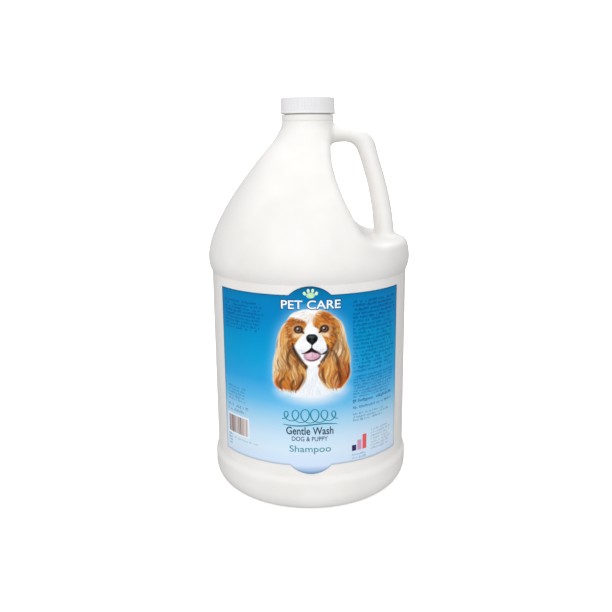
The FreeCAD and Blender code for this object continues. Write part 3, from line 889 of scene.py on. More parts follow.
def paint_dog(u, v):
    """The whole portrait on a canvas of the given columns and rows."""
    rng = np.random.default_rng(DOG_SEED)
    canvas = Canvas(u, v)
    for cloud in [((0.0, -41.0), (17.0, 6.0), (240, 247, 252), 0.95, 0.9),
                  ((-17.0, -39.5), (8.0, 4.6), (226, 242, 250), 0.95, 0.6),
                  ((17.0, -39.0), (8.0, 4.6), (220, 232, 250), 0.95, 0.6)]:
        canvas.blob(*cloud)
    canvas.shape(CHEST, (240, 244, 250), 3.4, 0.95)
    for _ in range(70):
        start = np.array([rng.uniform(-6, 6), rng.uniform(-38, -18)])
        end = start + np.array([start[0] * 0.25 + rng.normal() * 0.8, rng.uniform(-7, -3)])
        canvas.stroke(sweep([start, (start + end) / 2 + rng.normal() * 0.3, end], 5), 0.9,
                      rng.choice([(255, 255, 255), (214, 224, 238), (232, 226, 226)]), 0.5)
    canvas.shape([(-15, 4), (-13, -4), (-9, -13), (-3, -20), (-8, -24), (-14, -12), (-19, -2)], BROWN, 0.8)
    canvas.shape([(14, 2), (12, -6), (9, -13), (4, -19), (8, -22), (14, -12), (18, -2)], BROWN, 0.8)
    paint_ear(canvas, LEFT_EAR, LEFT_EAR_TINTS, 620, rng)
    paint_ear(canvas, RIGHT_EAR, RIGHT_EAR_TINTS, 620, rng)
    canvas.shape(HEAD, WHITE, 0.6)
    canvas.shape(LEFT_PATCH, AMBER, 0.9)
    canvas.shape(RIGHT_PATCH, AMBER, 0.9)
    for shade in [((-9.6, 12.6), (5.2, 2.0), CHESTNUT, 0.6, 0.85, -6),
                  ((-14.6, 2.4), (1.8, 6.5), CHESTNUT, 0.6, 0.75, -8),
                  ((5.2, 13.0), (3.6, 4.4), AMBER, 0.6, 0.8, 24),
                  ((10.2, 15.6), (4.8, 3.0), CHESTNUT, 0.7, 0.75, -30),
                  ((14.4, 6.6), (2.4, 5.6), BROWN, 0.6, 0.7)]:
        canvas.blob(*shade)
    paint_fur(canvas, LEFT_PATCH, [CHESTNUT, RUST, AMBER, GOLD, BROWN], 230, rng)
    paint_fur(canvas, RIGHT_PATCH, [CHESTNUT, RUST, AMBER, GOLD, AMBER, BROWN], 300, rng)
    paint_fur(canvas, [(-12, 19), (-4, 21), (5, 20.6), (1.5, 15), (-0.5, 9), (-4, 13.4), (-9, 15)],
              [WHITE, (232, 226, 214), WHITE, (240, 214, 190)], 120, rng, 3.6)
    paint_muzzle(canvas, rng)
    paint_eye(canvas, -9.4, 7.1, 1)
    paint_eye(canvas, 8.9, 7.5, -1)
    paint_mouth(canvas)
    paint_nose(canvas)
    for line, count, width, strength, soft in [
            ([(-14.0, -2.4), (-12.2, -8.0), (-9.4, -12.6), (-5.4, -18.6)], 12, 2.0, 0.85, 0.6),
            ([(10.6, -3.6), (11.4, -7.6), (9.6, -12.6), (5.8, -17.6)], 12, 1.8, 0.75, 0.6),
            ([(7.2, -11.0), (9.2, -10.2), (10.6, -8.6)], 6, 1.6, 0.85, 0.4)]:
        canvas.stroke(sweep(line, count), width, SOOT, strength, soft)
    for lock in DARK_LOCKS:
        canvas.stroke(sweep(lock, 10), 2.0, BROWN, 0.75, 0.9)
    for side in (-1, 1):
        for k in range(12):
            start = np.array([side * (5.5 + 0.75 * k), -15.5 + 0.75 * k])
            end = start + np.array([side * 1.2, -3.0]) * rng.uniform(0.6, 1.3)
            canvas.stroke([start, (start + end) / 2, end], 0.5, BROWN, 0.6)
    return canvas


# ---------------------------------------------------------------- label

LABEL_R = PANEL_R + 0.1
LABEL_THICK = 0.1
WRAP_R = 76.0                                # the radius at which widths round the label are measured
LABEL_HALF = WRAP_R * math.radians(58.3)
LABEL_LOW_Z = 39.9
LABEL_TOP_Z = 167.6
CREST_HALF, CREST_RISE = 15.0, 6.4
TAB_HALF, TAB_DROP = 15.25, 6.4
ART_HALF = 38.0
ART_LOW_Z, ART_TOP_Z = 83.0, 161.0
ART_STEP = 0.42


def bulge(s, half, rise):
    """How far a round crest of that half width and rise stands past the label's edge."""
    radius = (half ** 2 + rise ** 2) / (2 * rise)
    inside = np.abs(s) < half
    return np.where(inside, np.sqrt(np.maximum(radius ** 2 - s ** 2, 0)) - (radius - rise), 0)


def graded(breaks, steps):
    """Values through the breaks, each span divided by its own step."""
    values = [breaks[0]]
    for a, b, step in zip(breaks, breaks[1:], steps):
        count = max(1, round((b - a) / step))
        values += [a + (b - a) * k / count for k in range(1, count + 1)]
    return np.array(values)


def make_label():
    """The label sheet: a fine front, a plain back and four thin edges."""
    b = Builder()
    s = graded([-LABEL_HALF, -ART_HALF, ART_HALF, LABEL_HALF], [1.5, ART_STEP, 1.5])
    heights = graded([LABEL_LOW_Z, ART_LOW_Z, ART_TOP_Z, LABEL_TOP_Z], [2.0, ART_STEP, 1.0])
    top = LABEL_TOP_Z + bulge(s, CREST_HALF, CREST_RISE)
    low = LABEL_LOW_Z - bulge(s, TAB_HALF, TAB_DROP)
    z = heights[:, None] + np.zeros(len(s))[None, :]
    z[0] = low
    z[-1] = top
    upper = (heights > ART_TOP_Z) & (heights < LABEL_TOP_Z)
    share = (heights[upper] - ART_TOP_Z) / (LABEL_TOP_Z - ART_TOP_Z)
    z[upper] = ART_TOP_Z + share[:, None] * (top - ART_TOP_Z)[None, :]
    lower = (heights < ART_LOW_Z) & (heights > LABEL_LOW_Z)
    share = (ART_LOW_Z - heights[lower]) / (ART_LOW_Z - LABEL_LOW_Z)
    z[lower] = ART_LOW_Z - share[:, None] * (ART_LOW_Z - low)[None, :]
    angle = s / WRAP_R
    outer = LABEL_R + LABEL_THICK
    front = np.stack([outer * np.sin(angle) + 0 * z, -outer * np.cos(angle) + 0 * z, z], -1)
    rows, columns = z.shape
    ids = b.add(front).reshape(rows, columns)
    quads = np.stack([ids[:-1, :-1], ids[:-1, 1:], ids[1:, 1:], ids[1:, :-1]], -1).reshape(-1, 4)
    b.faces.extend(map(tuple, quads))
    back_low, back_top = [b.add(np.stack([LABEL_R * np.sin(angle), -LABEL_R * np.cos(angle), height], -1))
                          for height in (low, top)]
    for j in range(columns - 1):
        b.faces.append((back_low[j + 1], back_low[j], back_top[j], back_top[j + 1]))
        b.faces.append((back_low[j], back_low[j + 1], ids[0, j + 1], ids[0, j]))
        b.faces.append((ids[-1, j], ids[-1, j + 1], back_top[j + 1], back_top[j]))
    b.faces.append((back_low[0],) + tuple(ids[:, 0]) + (back_top[0],))
    b.faces.append((back_top[-1],) + tuple(ids[::-1, -1]) + (back_low[-1],))
    sheet = b.make("label_sheet")
    print_label(sheet, s, heights)
    return sheet


def print_label(sheet, s, heights):
    """Stores the portrait, and a darker band round the front's edges, on the front's vertices."""
    columns = np.abs(s) < ART_HALF + 0.01
    rows = (heights > ART_LOW_Z - 0.01) & (heights < ART_TOP_Z + 0.01)
    portrait = with_glow(paint_dog(s[columns] - NOSE_S, heights[rows] - NOSE_Z))
    front = np.zeros((len(heights), len(s), 4))
    front[np.ix_(rows, columns)] = portrait
    # A band of 1 on the front's outermost rows and columns, for the darker edge band.
    rim = np.ones((len(heights), len(s)))
    rim[1:-1, 1:-1] = 0
    count = len(sheet.data.vertices)
    dye = sheet.data.attributes.new("portrait", "FLOAT_COLOR", "POINT")
    values = np.zeros((count, 4))
    values[:front.shape[0] * front.shape[1]] = front.reshape(-1, 4)
    dye.data.foreach_set("color", values.reshape(-1))
    edge = sheet.data.attributes.new("rim", "FLOAT", "POINT")
    values = np.zeros(count)
    values[:rim.size] = rim.reshape(-1)
    edge.data.foreach_set("value", values)


# ---------------------------------------------------------------- lettering and ornaments on the label

PRINT_R = LABEL_R + LABEL_THICK
UNDER = (0.01, 0.05)                         # bottom and top of the dark outlines above the label
OVER = (0.01, 0.09)                          # and of the print over them


def wrap(s, z, height):
    """Points on the label's cylinder, s millimetres round it and height above it."""
    s, z, height = np.broadcast_arrays(np.asarray(s, float), z, height)
    reach = PRINT_R + height
    return np.stack([reach * np.sin(s / WRAP_R), -reach * np.cos(s / WRAP_R), z], -1)


def film(builder, outline, heights):
    """A thin closed piece of ink in the shape of an outline that its own middle can see."""
    outline = np.asarray(outline)
    middle = outline.mean(0)
    rings = []
    for share in (0.5, 1.0):
        ring = middle + (outline - middle) * share
        rings.append([builder.add(wrap(ring[:, 0], ring[:, 1], h)) for h in heights])
    centres = [builder.add(wrap(middle[0], middle[1], h))[0] for h in heights]
    (inner_low, inner_top), (outer_low, outer_top) = rings
    builder.fan(inner_top, None, True, centres[1])
    builder.fan(inner_low, None, False, centres[0])
    builder.strip(outer_top, inner_top)
    builder.strip(inner_low, outer_low)
    builder.strip(outer_low, outer_top)


def ribbon(builder, line, widths, heights):
    """A thin closed brush stroke along a line."""
    line = np.asarray(line)
    along = np.gradient(line, axis=0)
    along /= np.linalg.norm(along, axis=1)[:, None]
    side = np.stack([-along[:, 1], along[:, 0]], 1) * np.asarray(widths)[:, None] / 2
    corners = [(line + side, heights[0]), (line - side, heights[0]), (line - side, heights[1]),
               (line + side, heights[1])]
    ids = [builder.add(wrap(p[:, 0], p[:, 1], h)) for p, h in corners]
    for a, b in zip(ids, ids[1:] + ids[:1]):
        for k in range(len(line) - 1):
            builder.faces.append((a[k], b[k], b[k + 1], a[k + 1]))
    builder.faces.append(tuple(i[0] for i in reversed(ids)))
    builder.faces.append(tuple(i[-1] for i in ids))


def ellipse(centre, half_s, half_z, tilt=0.0, count=28):
    """Points round an ellipse that is turned by tilt degrees."""
    angles = 2 * math.pi * np.arange(count) / count
    turn = math.radians(tilt)
    a, b = half_s * np.cos(angles), half_z * np.sin(angles)
    return np.stack([centre[0] + a * math.cos(turn) - b * math.sin(turn),
                     centre[1] + a * math.sin(turn) + b * math.cos(turn)], 1)


def word(builder, letters, centre, width, height, heights, fatten=0.0):
    """A word in the plain built-in font, stretched to a width and height round its centre."""
    curve = bpy.data.curves.new("word", "FONT")
    curve.body = letters
    curve.size = 10.0
    curve.extrude = 0.5
    curve.resolution_u = 4
    curve.offset = fatten
    obj = bpy.data.objects.new("word", curve)
    bpy.context.scene.collection.objects.link(obj)
    bpy.context.view_layer.update()
    mesh = bpy.data.meshes.new_from_object(obj.evaluated_get(bpy.context.evaluated_depsgraph_get()))
    points = np.array([v.co for v in mesh.vertices])
    faces = [tuple(p.vertices) for p in mesh.polygons]
    bpy.data.objects.remove(obj)
    bpy.data.curves.remove(curve)
    bpy.data.meshes.remove(mesh)
    low, high = points.min(0), points.max(0)
    middle = (low + high) / 2
    spread_s = width / (high[0] - low[0])
    spread_z = height / (high[1] - low[1])
    s = centre[0] + (points[:, 0] - middle[0]) * spread_s
    z = centre[1] + (points[:, 1] - middle[1]) * spread_z
    above = np.where(points[:, 2] > 0, heights[1], heights[0])
    ids = builder.add(wrap(s, z, above))
    builder.faces.extend(tuple(int(ids[i]) for i in face) for face in faces)


def make_print(name, draw):
    """One printed piece; draw adds its ink to a builder."""
    b = Builder()
    draw(b)
    obj = b.make(name, smooth=False)
    work = bmesh.new()
    work.from_mesh(obj.data)
    bmesh.ops.remove_doubles(work, verts=work.verts, dist=2e-6)
    bmesh.ops.recalc_face_normals(work, faces=work.faces)
    work.to_mesh(obj.data)
    work.free()
    return obj


TITLE = "PET CARE"
TITLE_PLACE = (0.7, 160.9)


def draw_title_edge(b):
    word(b, TITLE, TITLE_PLACE, 43.6, 7.6, UNDER, 0.34)


def draw_title(b):
    word(b, TITLE, TITLE_PLACE, 42.2, 6.3, OVER, 0.12)


def draw_kind(b):
    word(b, "Gentle Wash", (-0.8, 67.2), 34.6, 6.0, OVER, 0.14)
    word(b, "DOG & PUPPY", (-0.8, 61.0), 26.2, 3.5, OVER, 0.05)


def draw_product(b):
    word(b, "Shampoo", (-0.6, 52.4), 30.4, 6.6, OVER, 0.03)


FLOURISH_LOOPS = 6
FLOURISH_S = -0.6
FLOURISH_WIDTH = 41.0
LOOPS_Z = 78.6
UNDERLINE_Z = 71.8


def draw_flourish(b):
    """A looped line that grows to its middle, with a plain stroke under it."""
    share = np.linspace(0, 1, 420)
    turn = 2 * math.pi * (FLOURISH_LOOPS * share - 0.25)
    swell = 2.6 + 2.6 * np.sin(math.pi * share)
    s = FLOURISH_S + FLOURISH_WIDTH * (share - 0.5) + swell * 0.9 * np.cos(turn)
    z = LOOPS_Z + swell * np.sin(turn)
    ribbon(b, np.stack([s, z], 1), 0.55 + 0.35 * np.cos(turn) ** 2, OVER)
    share = np.linspace(-1, 1, 60)
    under = np.stack([FLOURISH_S + 20.0 * share, UNDERLINE_Z + 0.8 * np.sin(share * math.pi)], 1)
    ribbon(b, under, 0.25 + 0.75 * np.sqrt(1 - share ** 2), OVER)


PAW_S = 0.4


def draw_paw_pad(b):
    film(b, ellipse((PAW_S, 167.5), 3.0, 2.0), OVER)


def draw_paw_toes(b):
    for side in (-1, 1):
        film(b, ellipse((PAW_S + side * 4.1, 168.9), 1.05, 1.4, -side * 32), OVER)
        film(b, ellipse((PAW_S + side * 1.5, 170.8), 1.0, 1.4, -side * 8), OVER)


# ---------------------------------------------------------------- materials

class Nodes:
    """A short way to build a node tree."""

    def __init__(self, name):
        self.material = bpy.data.materials.new(name)
        self.material.use_nodes = True
        self.tree = self.material.node_tree
        self.tree.nodes.clear()
        self.output = self.add("ShaderNodeOutputMaterial")
        self.shader = self.add("ShaderNodeBsdfPrincipled")
        self.link(self.shader.outputs["BSDF"], self.output.inputs["Surface"])
        self.place = self.add("ShaderNodeTexCoord").outputs["Object"]

    @classmethod
    def group(cls, name, inputs, output):
        """A node group of plain numbers with the named inputs and one output."""
        self = cls.__new__(cls)
        self.tree = bpy.data.node_groups.new(name, "ShaderNodeTree")
        for item in inputs:
            self.tree.interface.new_socket(item, in_out="INPUT", socket_type="NodeSocketFloat")
        self.tree.interface.new_socket(output, in_out="OUTPUT", socket_type="NodeSocketFloat")
        self.inputs = self.add("NodeGroupInput").outputs
        self.result = self.add("NodeGroupOutput").inputs[output]
        return self

    def dice(self, a, b):
        """Three random numbers that depend on two numbers."""
        pair = self.add("ShaderNodeCombineXYZ")
        self.feed(pair.inputs[0], a)
        self.feed(pair.inputs[1], b)
        noise = self.add("ShaderNodeTexWhiteNoise", noise_dimensions="3D")
        self.link(pair.outputs[0], noise.inputs["Vector"])
        parts = self.add("ShaderNodeSeparateColor")
        self.link(noise.outputs["Color"], parts.inputs[0])
        return noise.outputs["Value"], parts.outputs[0], parts.outputs[1]

    def add(self, kind, **values):
        node = self.tree.nodes.new(kind)
        for key, value in values.items():
            setattr(node, key, value)
        return node

    def link(self, a, b):
        self.tree.links.new(a, b)

    def feed(self, socket, value):
        """Links a socket's value, or sets a plain one; None leaves it alone."""
        if isinstance(value, bpy.types.NodeSocket):
            self.link(value, socket)
        elif value is not None:
            socket.default_value = value

    def math(self, operation, a, b=None):
        node = self.add("ShaderNodeMath", operation=operation)
        for socket, value in zip(node.inputs, (a, b)):
            self.feed(socket, value)
        return node.outputs[0]

    def texture(self, kind, scale, **values):
        """A texture node in the object's own coordinates."""
        node = self.add(kind)
        self.link(self.place, node.inputs["Vector"])
        for key, value in dict(values, Scale=scale).items():
            node.inputs[key].default_value = value
        return node

    def noise(self, scale, detail=2.0, roughness=0.5):
        return self.texture("ShaderNodeTexNoise", scale, Detail=detail, Roughness=roughness).outputs["Fac"]

    def split(self):
        """The object's own x, y and z."""
        node = self.add("ShaderNodeSeparateXYZ")
        self.link(self.place, node.inputs[0])
        return node.outputs

    def span(self, value, low, high, to_low=0.0, to_high=1.0):
        """The value's place between low and high, carried over to another span."""
        node = self.add("ShaderNodeMapRange")
        for socket, item in zip(node.inputs, (value, low, high, to_low, to_high)):
            self.feed(socket, item)
        return node.outputs["Result"]

    def mix(self, share, a, b):
        node = self.add("ShaderNodeMix", data_type="RGBA")
        self.feed(node.inputs["Factor"], share)
        self.feed(node.inputs[6], a)
        self.feed(node.inputs[7], b)
        return node.outputs[2]

    def ramp(self, value, stops):
        node = self.add("ShaderNodeValToRGB")
        self.feed(node.inputs[0], value)
        elements = node.color_ramp.elements
        while len(elements) < len(stops):
            elements.new(0.5)
        for element, (at, colour) in zip(elements, stops):
            element.position = at
            element.color = colour
        return node.outputs["Color"]

    def bump(self, height, strength, distance, normal=None):
        node = self.add("ShaderNodeBump")
        node.inputs["Strength"].default_value = strength
        node.inputs["Distance"].default_value = distance
        self.feed(node.inputs["Height"], height)
        if normal is not None:
            self.feed(node.inputs["Normal"], normal)
        return node.outputs["Normal"]

    def gloss(self, noise, smoothest, roughest):
        """Roughness that wanders between two values with a noise."""
        self.set(Roughness=self.span(noise, 0.3, 0.7, smoothest, roughest))

    def set(self, **values):
        """Sets the shader's inputs by name, _ standing for a space."""
        for key, value in values.items():
            self.feed(self.shader.inputs[key.replace("_", " ")], value)


def colour(red, green, blue):
    """A colour given as it looks on a screen, from 0 to 255."""
    def linear(c):
        c /= 255
        return c / 12.92 if c <= 0.04045 else ((c + 0.055) / 1.055) ** 2.4
    return (linear(red), linear(green), linear(blue), 1.0)


SEAM_HALF = 0.45                             # half width of the parting line


def jug_plastic():
    """Waxy white plastic with a faint parting line in the plane of the handle."""
    n = Nodes("jug_plastic")
    cloud = n.noise(22.0, 3.0, 0.55)
    tone = n.mix(n.span(cloud, 0.35, 0.65), colour(237, 235, 232), colour(244, 242, 239))
    n.set(Base_Color=tone, Specular_IOR_Level=0.45, Subsurface_Weight=0.12, Subsurface_Scale=0.002)
    n.shader.inputs["Subsurface Radius"].default_value = (1.0, 0.95, 0.85)
    n.gloss(n.noise(160.0, 3.0, 0.6), 0.34, 0.44)
    seam = n.span(n.math("ABSOLUTE", n.split()["Y"]), 0.0, SEAM_HALF * MM, 1.0, 0.0)
    skin = n.bump(n.noise(420.0, 2.0, 0.5), 0.05, 0.0003)
    skin = n.bump(n.noise(90.0, 2.0, 0.5), 0.06, 0.001, skin)
    n.set(Normal=n.bump(seam, 0.35, 0.0002, skin))
    return n.material


def cap_plastic():
    n = Nodes("cap_plastic")
    tone = n.mix(n.noise(60.0, 2.0, 0.5), colour(230, 229, 231), colour(236, 235, 237))
    n.set(Base_Color=tone, Specular_IOR_Level=0.5, Subsurface_Weight=0.08, Subsurface_Scale=0.0015)
    n.gloss(n.noise(260.0, 3.0, 0.6), 0.30, 0.42)
    n.set(Normal=n.bump(n.noise(900.0, 2.0, 0.5), 0.08, 0.0002))
    return n.material


def liner_foam():
    n = Nodes("liner_foam")
    cells = n.texture("ShaderNodeTexVoronoi", 2600.0).outputs["Distance"]
    tone = n.mix(cells, colour(240, 240, 236), colour(228, 228, 222))
    n.set(Base_Color=tone, Roughness=0.75, Normal=n.bump(cells, 0.3, 0.0002))
    return n.material


def shampoo_liquid():
    n = Nodes("shampoo")
    swirl = n.texture("ShaderNodeTexWave", 14.0, Distortion=9.0, Detail=3.0)
    tone = n.mix(swirl.outputs["Fac"], colour(238, 226, 190), colour(248, 240, 214))
    n.set(Base_Color=tone, Roughness=0.12, Subsurface_Weight=0.3, Subsurface_Scale=0.01, Coat_Weight=0.4)
    return n.material


# Blocks of small print: left, right, top, lines, line height, letter width, ragged end, ink strength.
SMALL_PRINT = [(-73.4, -33.0, 160.6, 9, 2.5, 1.05, 7.0, 0.75), (-72.4, -51.4, 94.0, 5, 2.5, 1.0, 2.0, 0.6),
               (-73.4, -48.0, 79.6, 2, 3.6, 1.5, 5.0, 0.65), (-73.6, -68.6, 54.4, 4, 2.4, 1.2, 0.5, 0.75),
               (-66.0, -41.0, 53.0, 1, 2.4, 1.1, 1.0, 0.5),
               (31.4, 74.2, 162.6, 5, 2.9, 1.1, 3.0, 0.9), (31.4, 74.2, 148.1, 14, 2.85, 1.05, 6.0, 0.8),
               (32.0, 73.2, 106.8, 8, 2.2, 0.95, 6.0, 0.8), (31.6, 73.0, 88.8, 1, 3.5, 1.4, 1.0, 1.0),
               (31.6, 72.0, 83.6, 1, 3.1, 1.25, 2.0, 0.8), (31.6, 72.0, 78.2, 3, 2.4, 1.0, 16.0, 0.7),
               (47.8, 70.6, 63.0, 7, 2.5, 1.0, 4.0, 0.45), (31.0, 44.0, 46.6, 2, 2.6, 1.2, 2.0, 0.55)]

# The code block: left, right, low and top, its pale margin, and the width of its thinnest bars.
BARCODE = (-72.8, -50.4, 55.8, 69.6)
BARCODE_MARGIN = 1.3
BARCODE_STEP = 0.42

# The gauge: height and tint of its bars from left to right.
GAUGE = [(4.6, (58, 52, 96)), (8.0, (206, 150, 188)), (11.6, (230, 96, 100))]
GAUGE_LEFT = 31.0
GAUGE_LOW = 48.4
GAUGE_BAR = 3.6
GAUGE_GAP = 0.9

# The label's ground colour: height and tint.
SKY = [(33.5, (118, 160, 208)), (40.0, (208, 226, 248)), (52.0, (212, 232, 247)), (62.0, (200, 226, 246)),
       (75.0, (164, 212, 240)), (89.0, (96, 188, 236)), (104.0, (44, 166, 226)), (119.0, (14, 160, 216)),
       (135.0, (0, 150, 208)), (152.0, (0, 134, 198)), (163.0, (0, 130, 192)), (174.0, (0, 104, 150))]


def small_print_group():
    """A node group: blocks of lines of letter-like marks that spell nothing."""
    inputs = ("S", "Z", "Left", "Right", "Top", "Lines", "Pitch", "Cell", "Rag")
    n = Nodes.group("small_print", inputs, "Ink")
    get = n.inputs
    line = n.math("DIVIDE", n.math("SUBTRACT", get["Top"], get["Z"]), get["Pitch"])
    row = n.math("FLOOR", line)
    across = n.math("DIVIDE", n.math("SUBTRACT", get["S"], get["Left"]), get["Cell"])
    column = n.math("FLOOR", across)
    in_rows = n.math("MULTIPLY", n.math("GREATER_THAN", row, -0.5), n.math("LESS_THAN", row, get["Lines"]))
    end = n.math("SUBTRACT", get["Right"], n.math("MULTIPLY", get["Rag"], n.dice(row, get["Top"])[0]))
    in_line = n.math("MULTIPLY", n.math("GREATER_THAN", across, 0.0), n.math("LESS_THAN", get["S"], end))
    value, red, green = n.dice(column, n.math("ADD", row, get["Top"]))
    letter = n.math("GREATER_THAN", value, 0.17)
    depth = n.math("FRACT", line)
    top = n.math("SUBTRACT", 0.34, n.math("MULTIPLY", n.math("GREATER_THAN", red, 0.6), 0.18))
    low = n.math("ADD", 0.74, n.math("MULTIPLY", n.math("GREATER_THAN", green, 0.85), 0.16))
    tall = n.math("MULTIPLY", n.math("GREATER_THAN", depth, top), n.math("LESS_THAN", depth, low))
    off = n.math("ABSOLUTE", n.math("SUBTRACT", n.math("FRACT", across), 0.45))
    wide = n.math("LESS_THAN", off, 0.37)
    middle = n.math("ADD", 0.46, n.math("MULTIPLY", green, 0.14))
    gap = n.math("ABSOLUTE", n.math("SUBTRACT", depth, middle))
    hole = n.math("MULTIPLY", n.math("LESS_THAN", off, 0.15), n.math("LESS_THAN", gap, 0.11))
    ink = n.math("MULTIPLY", n.math("MULTIPLY", in_rows, in_line), n.math("MULTIPLY", letter, tall))
    ink = n.math("MULTIPLY", ink, n.math("MULTIPLY", wide, n.math("SUBTRACT", 1.0, hole)))
    n.link(ink, n.result)
    return n.tree


def in_box(n, s, z, box, margin=0.0):
    """1 inside a box of left, right, low and top with a margin round it, and 0 outside."""
    left, right, low, top = box
    half_s, half_z = (right - left) / 2 + margin, (top - low) / 2 + margin
    off_s = n.math("ABSOLUTE", n.math("SUBTRACT", s, (left + right) / 2))
    off_z = n.math("ABSOLUTE", n.math("SUBTRACT", z, (low + top) / 2))
    return n.math("MULTIPLY", n.math("LESS_THAN", off_s, half_s), n.math("LESS_THAN", off_z, half_z))


def print_blocks(n, s, z, tone):
    """The small print, the code block and the gauge over a tone."""
    ink_tint = n.mix(n.span(z, 60.0, 110.0), colour(70, 110, 150), colour(0, 66, 128))
    group = small_print_group()
    for left, right, top, lines, pitch, cell, rag, strength in SMALL_PRINT:
        block = n.add("ShaderNodeGroup", node_tree=group)
        for socket, value in zip(block.inputs, (s, z, left, right, top, lines - 0.5, pitch, cell, rag)):
            n.feed(socket, value)
        tone = n.mix(n.math("MULTIPLY", block.outputs["Ink"], strength), tone, ink_tint)
    bar = n.dice(n.math("FLOOR", n.math("DIVIDE", s, BARCODE_STEP)), 3.0)[0]
    bars = n.mix(n.math("GREATER_THAN", bar, 0.45), colour(214, 204, 202), colour(140, 126, 126))
    tone = n.mix(in_box(n, s, z, BARCODE, BARCODE_MARGIN), tone, colour(232, 242, 252))
    tone = n.mix(in_box(n, s, z, BARCODE), tone, bars)
    for i, (height, tint) in enumerate(GAUGE):
        left = GAUGE_LEFT + i * (GAUGE_BAR + GAUGE_GAP)
        box = (left, left + GAUGE_BAR, GAUGE_LOW, GAUGE_LOW + height)
        tone = n.mix(in_box(n, s, z, box), tone, colour(*tint))
    return tone


def label_film():
    """The printed film, worked out from s round the label and z up it, both in millimetres."""
    n = Nodes("label_film")
    x, y, up = n.split()
    s = n.math("MULTIPLY", n.math("ARCTAN2", x, n.math("MULTIPLY", y, -1.0)), WRAP_R)
    z = n.math("MULTIPLY", up, 1 / MM)
    low, top = LABEL_LOW_Z - TAB_DROP, LABEL_TOP_Z + CREST_RISE
    stops = [((at - low) / (top - low), colour(*tint)) for at, tint in SKY]
    tone = n.ramp(n.span(z, low, top), stops)
    cloud = n.span(n.noise(26.0, 2.0, 0.5), 0.35, 0.65)
    tone = n.mix(n.math("MULTIPLY", cloud, n.span(z, 70.0, 150.0, 0.0, 0.16)), tone, colour(0, 104, 176))
    tone = print_blocks(n, s, z, tone)
    portrait = n.add("ShaderNodeAttribute", attribute_name="portrait")
    tone = n.mix(portrait.outputs["Alpha"], tone, portrait.outputs["Color"])
    # A darker band round the label's edges, faint at the bottom and strongest from 110 mm up.
    rim = n.add("ShaderNodeAttribute", attribute_name="rim").outputs["Fac"]
    rim = n.math("MULTIPLY", n.span(rim, 0.1, 0.9), n.span(z, 38.0, 110.0, 0.1, 0.75))
    tone = n.mix(rim, tone, colour(0, 62, 92))
    n.set(Base_Color=tone, Specular_IOR_Level=0.05)
    n.gloss(n.noise(140.0, 3.0, 0.6), 0.34, 0.46)
    n.set(Normal=n.bump(n.noise(60.0, 2.0, 0.5), 0.05, 0.001))
    return n.material


def ink(name, light, dark):
    """Print whose tone wanders a little between two colours."""
    n = Nodes(name)
    n.set(Base_Color=n.mix(n.span(n.noise(420.0, 2.0, 0.5), 0.35, 0.65), colour(*light), colour(*dark)))
    n.set(Specular_IOR_Level=0.2)
    n.gloss(n.noise(700.0), 0.36, 0.5)
    return n.material


def dress(obj, material, body, slot, *nodes):
    """Gives a piece its material and body, and hides the CAD nodes that it stands for."""
    obj.data.materials.clear()
    obj.data.materials.append(material)
    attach(obj, body)
    if nodes:
        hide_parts(*nodes)
    return obj


# ---------------------------------------------------------------- studio

FLOOR_Z = -0.2
FLOOR_R = 1500.0
BEND_R = 800.0
WALL_TOP_Z = 4000.0


def make_stage():
    """A pale bowl: a floor that curves up into a round wall."""
    b = Builder()
    profile = [(r, FLOOR_Z) for r in (100.0, 400.0, 1000.0, FLOOR_R)]
    profile += arc_points((FLOOR_R, FLOOR_Z + BEND_R), BEND_R, -90, 0, 17)[1:]
    profile += [(FLOOR_R + BEND_R, WALL_TOP_Z)]
    first, _ = b.turn(profile, 96)
    flip(b, 0)
    b.fan(first, (0, 0, FLOOR_Z), True)
    bowl = b.make("studio_sweep")
    n = Nodes("studio_paper")
    n.set(Base_Color=n.mix(n.noise(3.0), colour(250, 250, 250), colour(252, 252, 252)), Roughness=0.9)
    n.set(Emission_Color=(1.0, 1.0, 1.0, 1.0), Emission_Strength=0.4)
    bowl.data.materials.append(n.material)
    bowl.visible_diffuse = False
    bowl.visible_glossy = False


# Name, place, target, size and power of each light, in metres and watts.
LIGHTS = [("key", (-0.9, -1.5, 1.0), (0, 0, 0.16), (0.8, 0.8), 7.5),
          ("fill", (1.3, -1.3, 0.7), (0, 0, 0.15), (1.0, 1.2), 2.0),
          ("top", (0.0, 0.1, 1.9), (0, 0.1, 0.0), (2.4, 2.4), 15.0),
          ("wall", (0.0, 0.9, 1.6), (0, 2.0, 0.5), (2.4, 0.8), 20.0),
          ("rear", (0.2, 1.5, 1.3), (0, 0, 0.15), (2.4, 0.8), 9.0)]

# Strength of the white surroundings before and behind the jug.
WORLD_FRONT = 0.9
WORLD_BACK = 0.26


def make_lights():
    """Soft area lights round the jug."""
    for name, place, target, size, power in LIGHTS:
        light = bpy.data.lights.new(name, "AREA")
        light.shape = "RECTANGLE"
        light.size, light.size_y = size
        light.energy = power
        obj = bpy.data.objects.new(name, light)
        obj.location = place
        obj.rotation_euler = (Vector(target) - Vector(place)).to_track_quat("-Z", "Y").to_euler()
        bpy.context.scene.collection.objects.link(obj)


def make_world():
    """White surroundings that are brighter in front of the jug than behind it."""
    world = bpy.data.worlds.new("studio")
    world.use_nodes = True
    tree = world.node_tree
    background = tree.nodes["Background"]
    background.inputs["Color"].default_value = (1, 1, 1, 1)
    place = tree.nodes.new("ShaderNodeTexCoord")
    split = tree.nodes.new("ShaderNodeSeparateXYZ")
    tree.links.new(place.outputs["Generated"], split.inputs[0])
    front = tree.nodes.new("ShaderNodeMapRange")
    tree.links.new(split.outputs["Y"], front.inputs["Value"])
    for socket, value in zip(list(front.inputs)[1:5], (-0.7, 0.7, WORLD_FRONT, WORLD_BACK)):
        socket.default_value = value
    tree.links.new(front.outputs["Result"], background.inputs["Strength"])
    bpy.context.scene.world = world
    bpy.context.scene.view_settings.view_transform = "Standard"


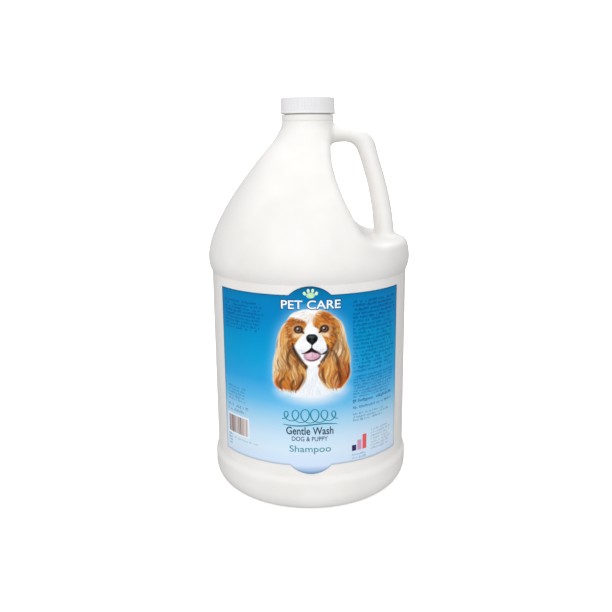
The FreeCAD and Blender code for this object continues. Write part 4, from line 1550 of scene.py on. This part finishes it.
CAMERA_PLACE = (5.73, -562.5, 273.2)
CAMERA_PITCH = 0.2284                        # radians down, then to the side and round its own axis
CAMERA_YAW = -0.0149
CAMERA_ROLL = -0.0092
CAMERA_LENS = 42.33
CAMERA_ORBIT = -0.9                          # degrees round the jug


def make_camera():
    """The camera stands a little over half a metre in front of the jug and looks slightly down."""
    pitch, yaw, roll = CAMERA_PITCH, CAMERA_YAW, CAMERA_ROLL
    right = Vector((math.cos(yaw), -math.sin(yaw), 0))
    ahead = Vector((math.sin(yaw) * math.cos(pitch), math.cos(yaw) * math.cos(pitch), -math.sin(pitch)))
    up = right.cross(ahead)
    rolled_right = right * math.cos(roll) + up * math.sin(roll)
    rolled_up = up * math.cos(roll) - right * math.sin(roll)
    basis = Matrix((rolled_right, rolled_up, -ahead)).transposed().to_4x4()
    orbit = Matrix.Rotation(math.radians(CAMERA_ORBIT), 4, "Z")
    camera = bpy.data.cameras.new("camera")
    camera.lens = CAMERA_LENS
    camera.sensor_width = 36.0
    obj = bpy.data.objects.new("camera", camera)
    obj.matrix_world = orbit @ Matrix.Translation(Vector(CAMERA_PLACE) * MM) @ basis
    bpy.context.scene.collection.objects.link(obj)
    bpy.context.scene.camera = obj


# ---------------------------------------------------------------- the scene

dress(make_jug(), jug_plastic(), "bottle", "jug_plastic", "jug")
dress(make_label(), label_film(), "bottle", "label_film", "front_label")
PRINTS = [("title_edge", draw_title_edge, "title_edge_ink", (10, 70, 120), (6, 54, 104)),
          ("title_letters", draw_title, "title_ink", (250, 252, 253), (240, 248, 250)),
          ("kind_letters", draw_kind, "kind_ink", (44, 62, 78), (60, 80, 94)),
          ("product_letters", draw_product, "product_ink", (52, 134, 150), (70, 150, 162)),
          ("flourish", draw_flourish, "flourish_ink", (8, 128, 152), (18, 142, 166)),
          ("paw_pad", draw_paw_pad, "paw_pad_ink", (172, 226, 170), (206, 238, 196)),
          ("paw_toes", draw_paw_toes, "paw_toe_ink", (206, 240, 196), (222, 246, 214))]
for name, draw, material, light, dark in PRINTS:
    dress(make_print("label_" + name, draw), ink(material, light, dark), "bottle", "label_film")
dress(make_cap(), cap_plastic(), "cap", "cap_plastic", "screw_cap")
dress(make_liner(), liner_foam(), "liner", "liner_foam", "cap_liner")
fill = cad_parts["shampoo_fill"]
fill.data.materials.clear()
fill.data.materials.append(shampoo_liquid())

make_stage()
make_world()
make_lights()
make_camera()
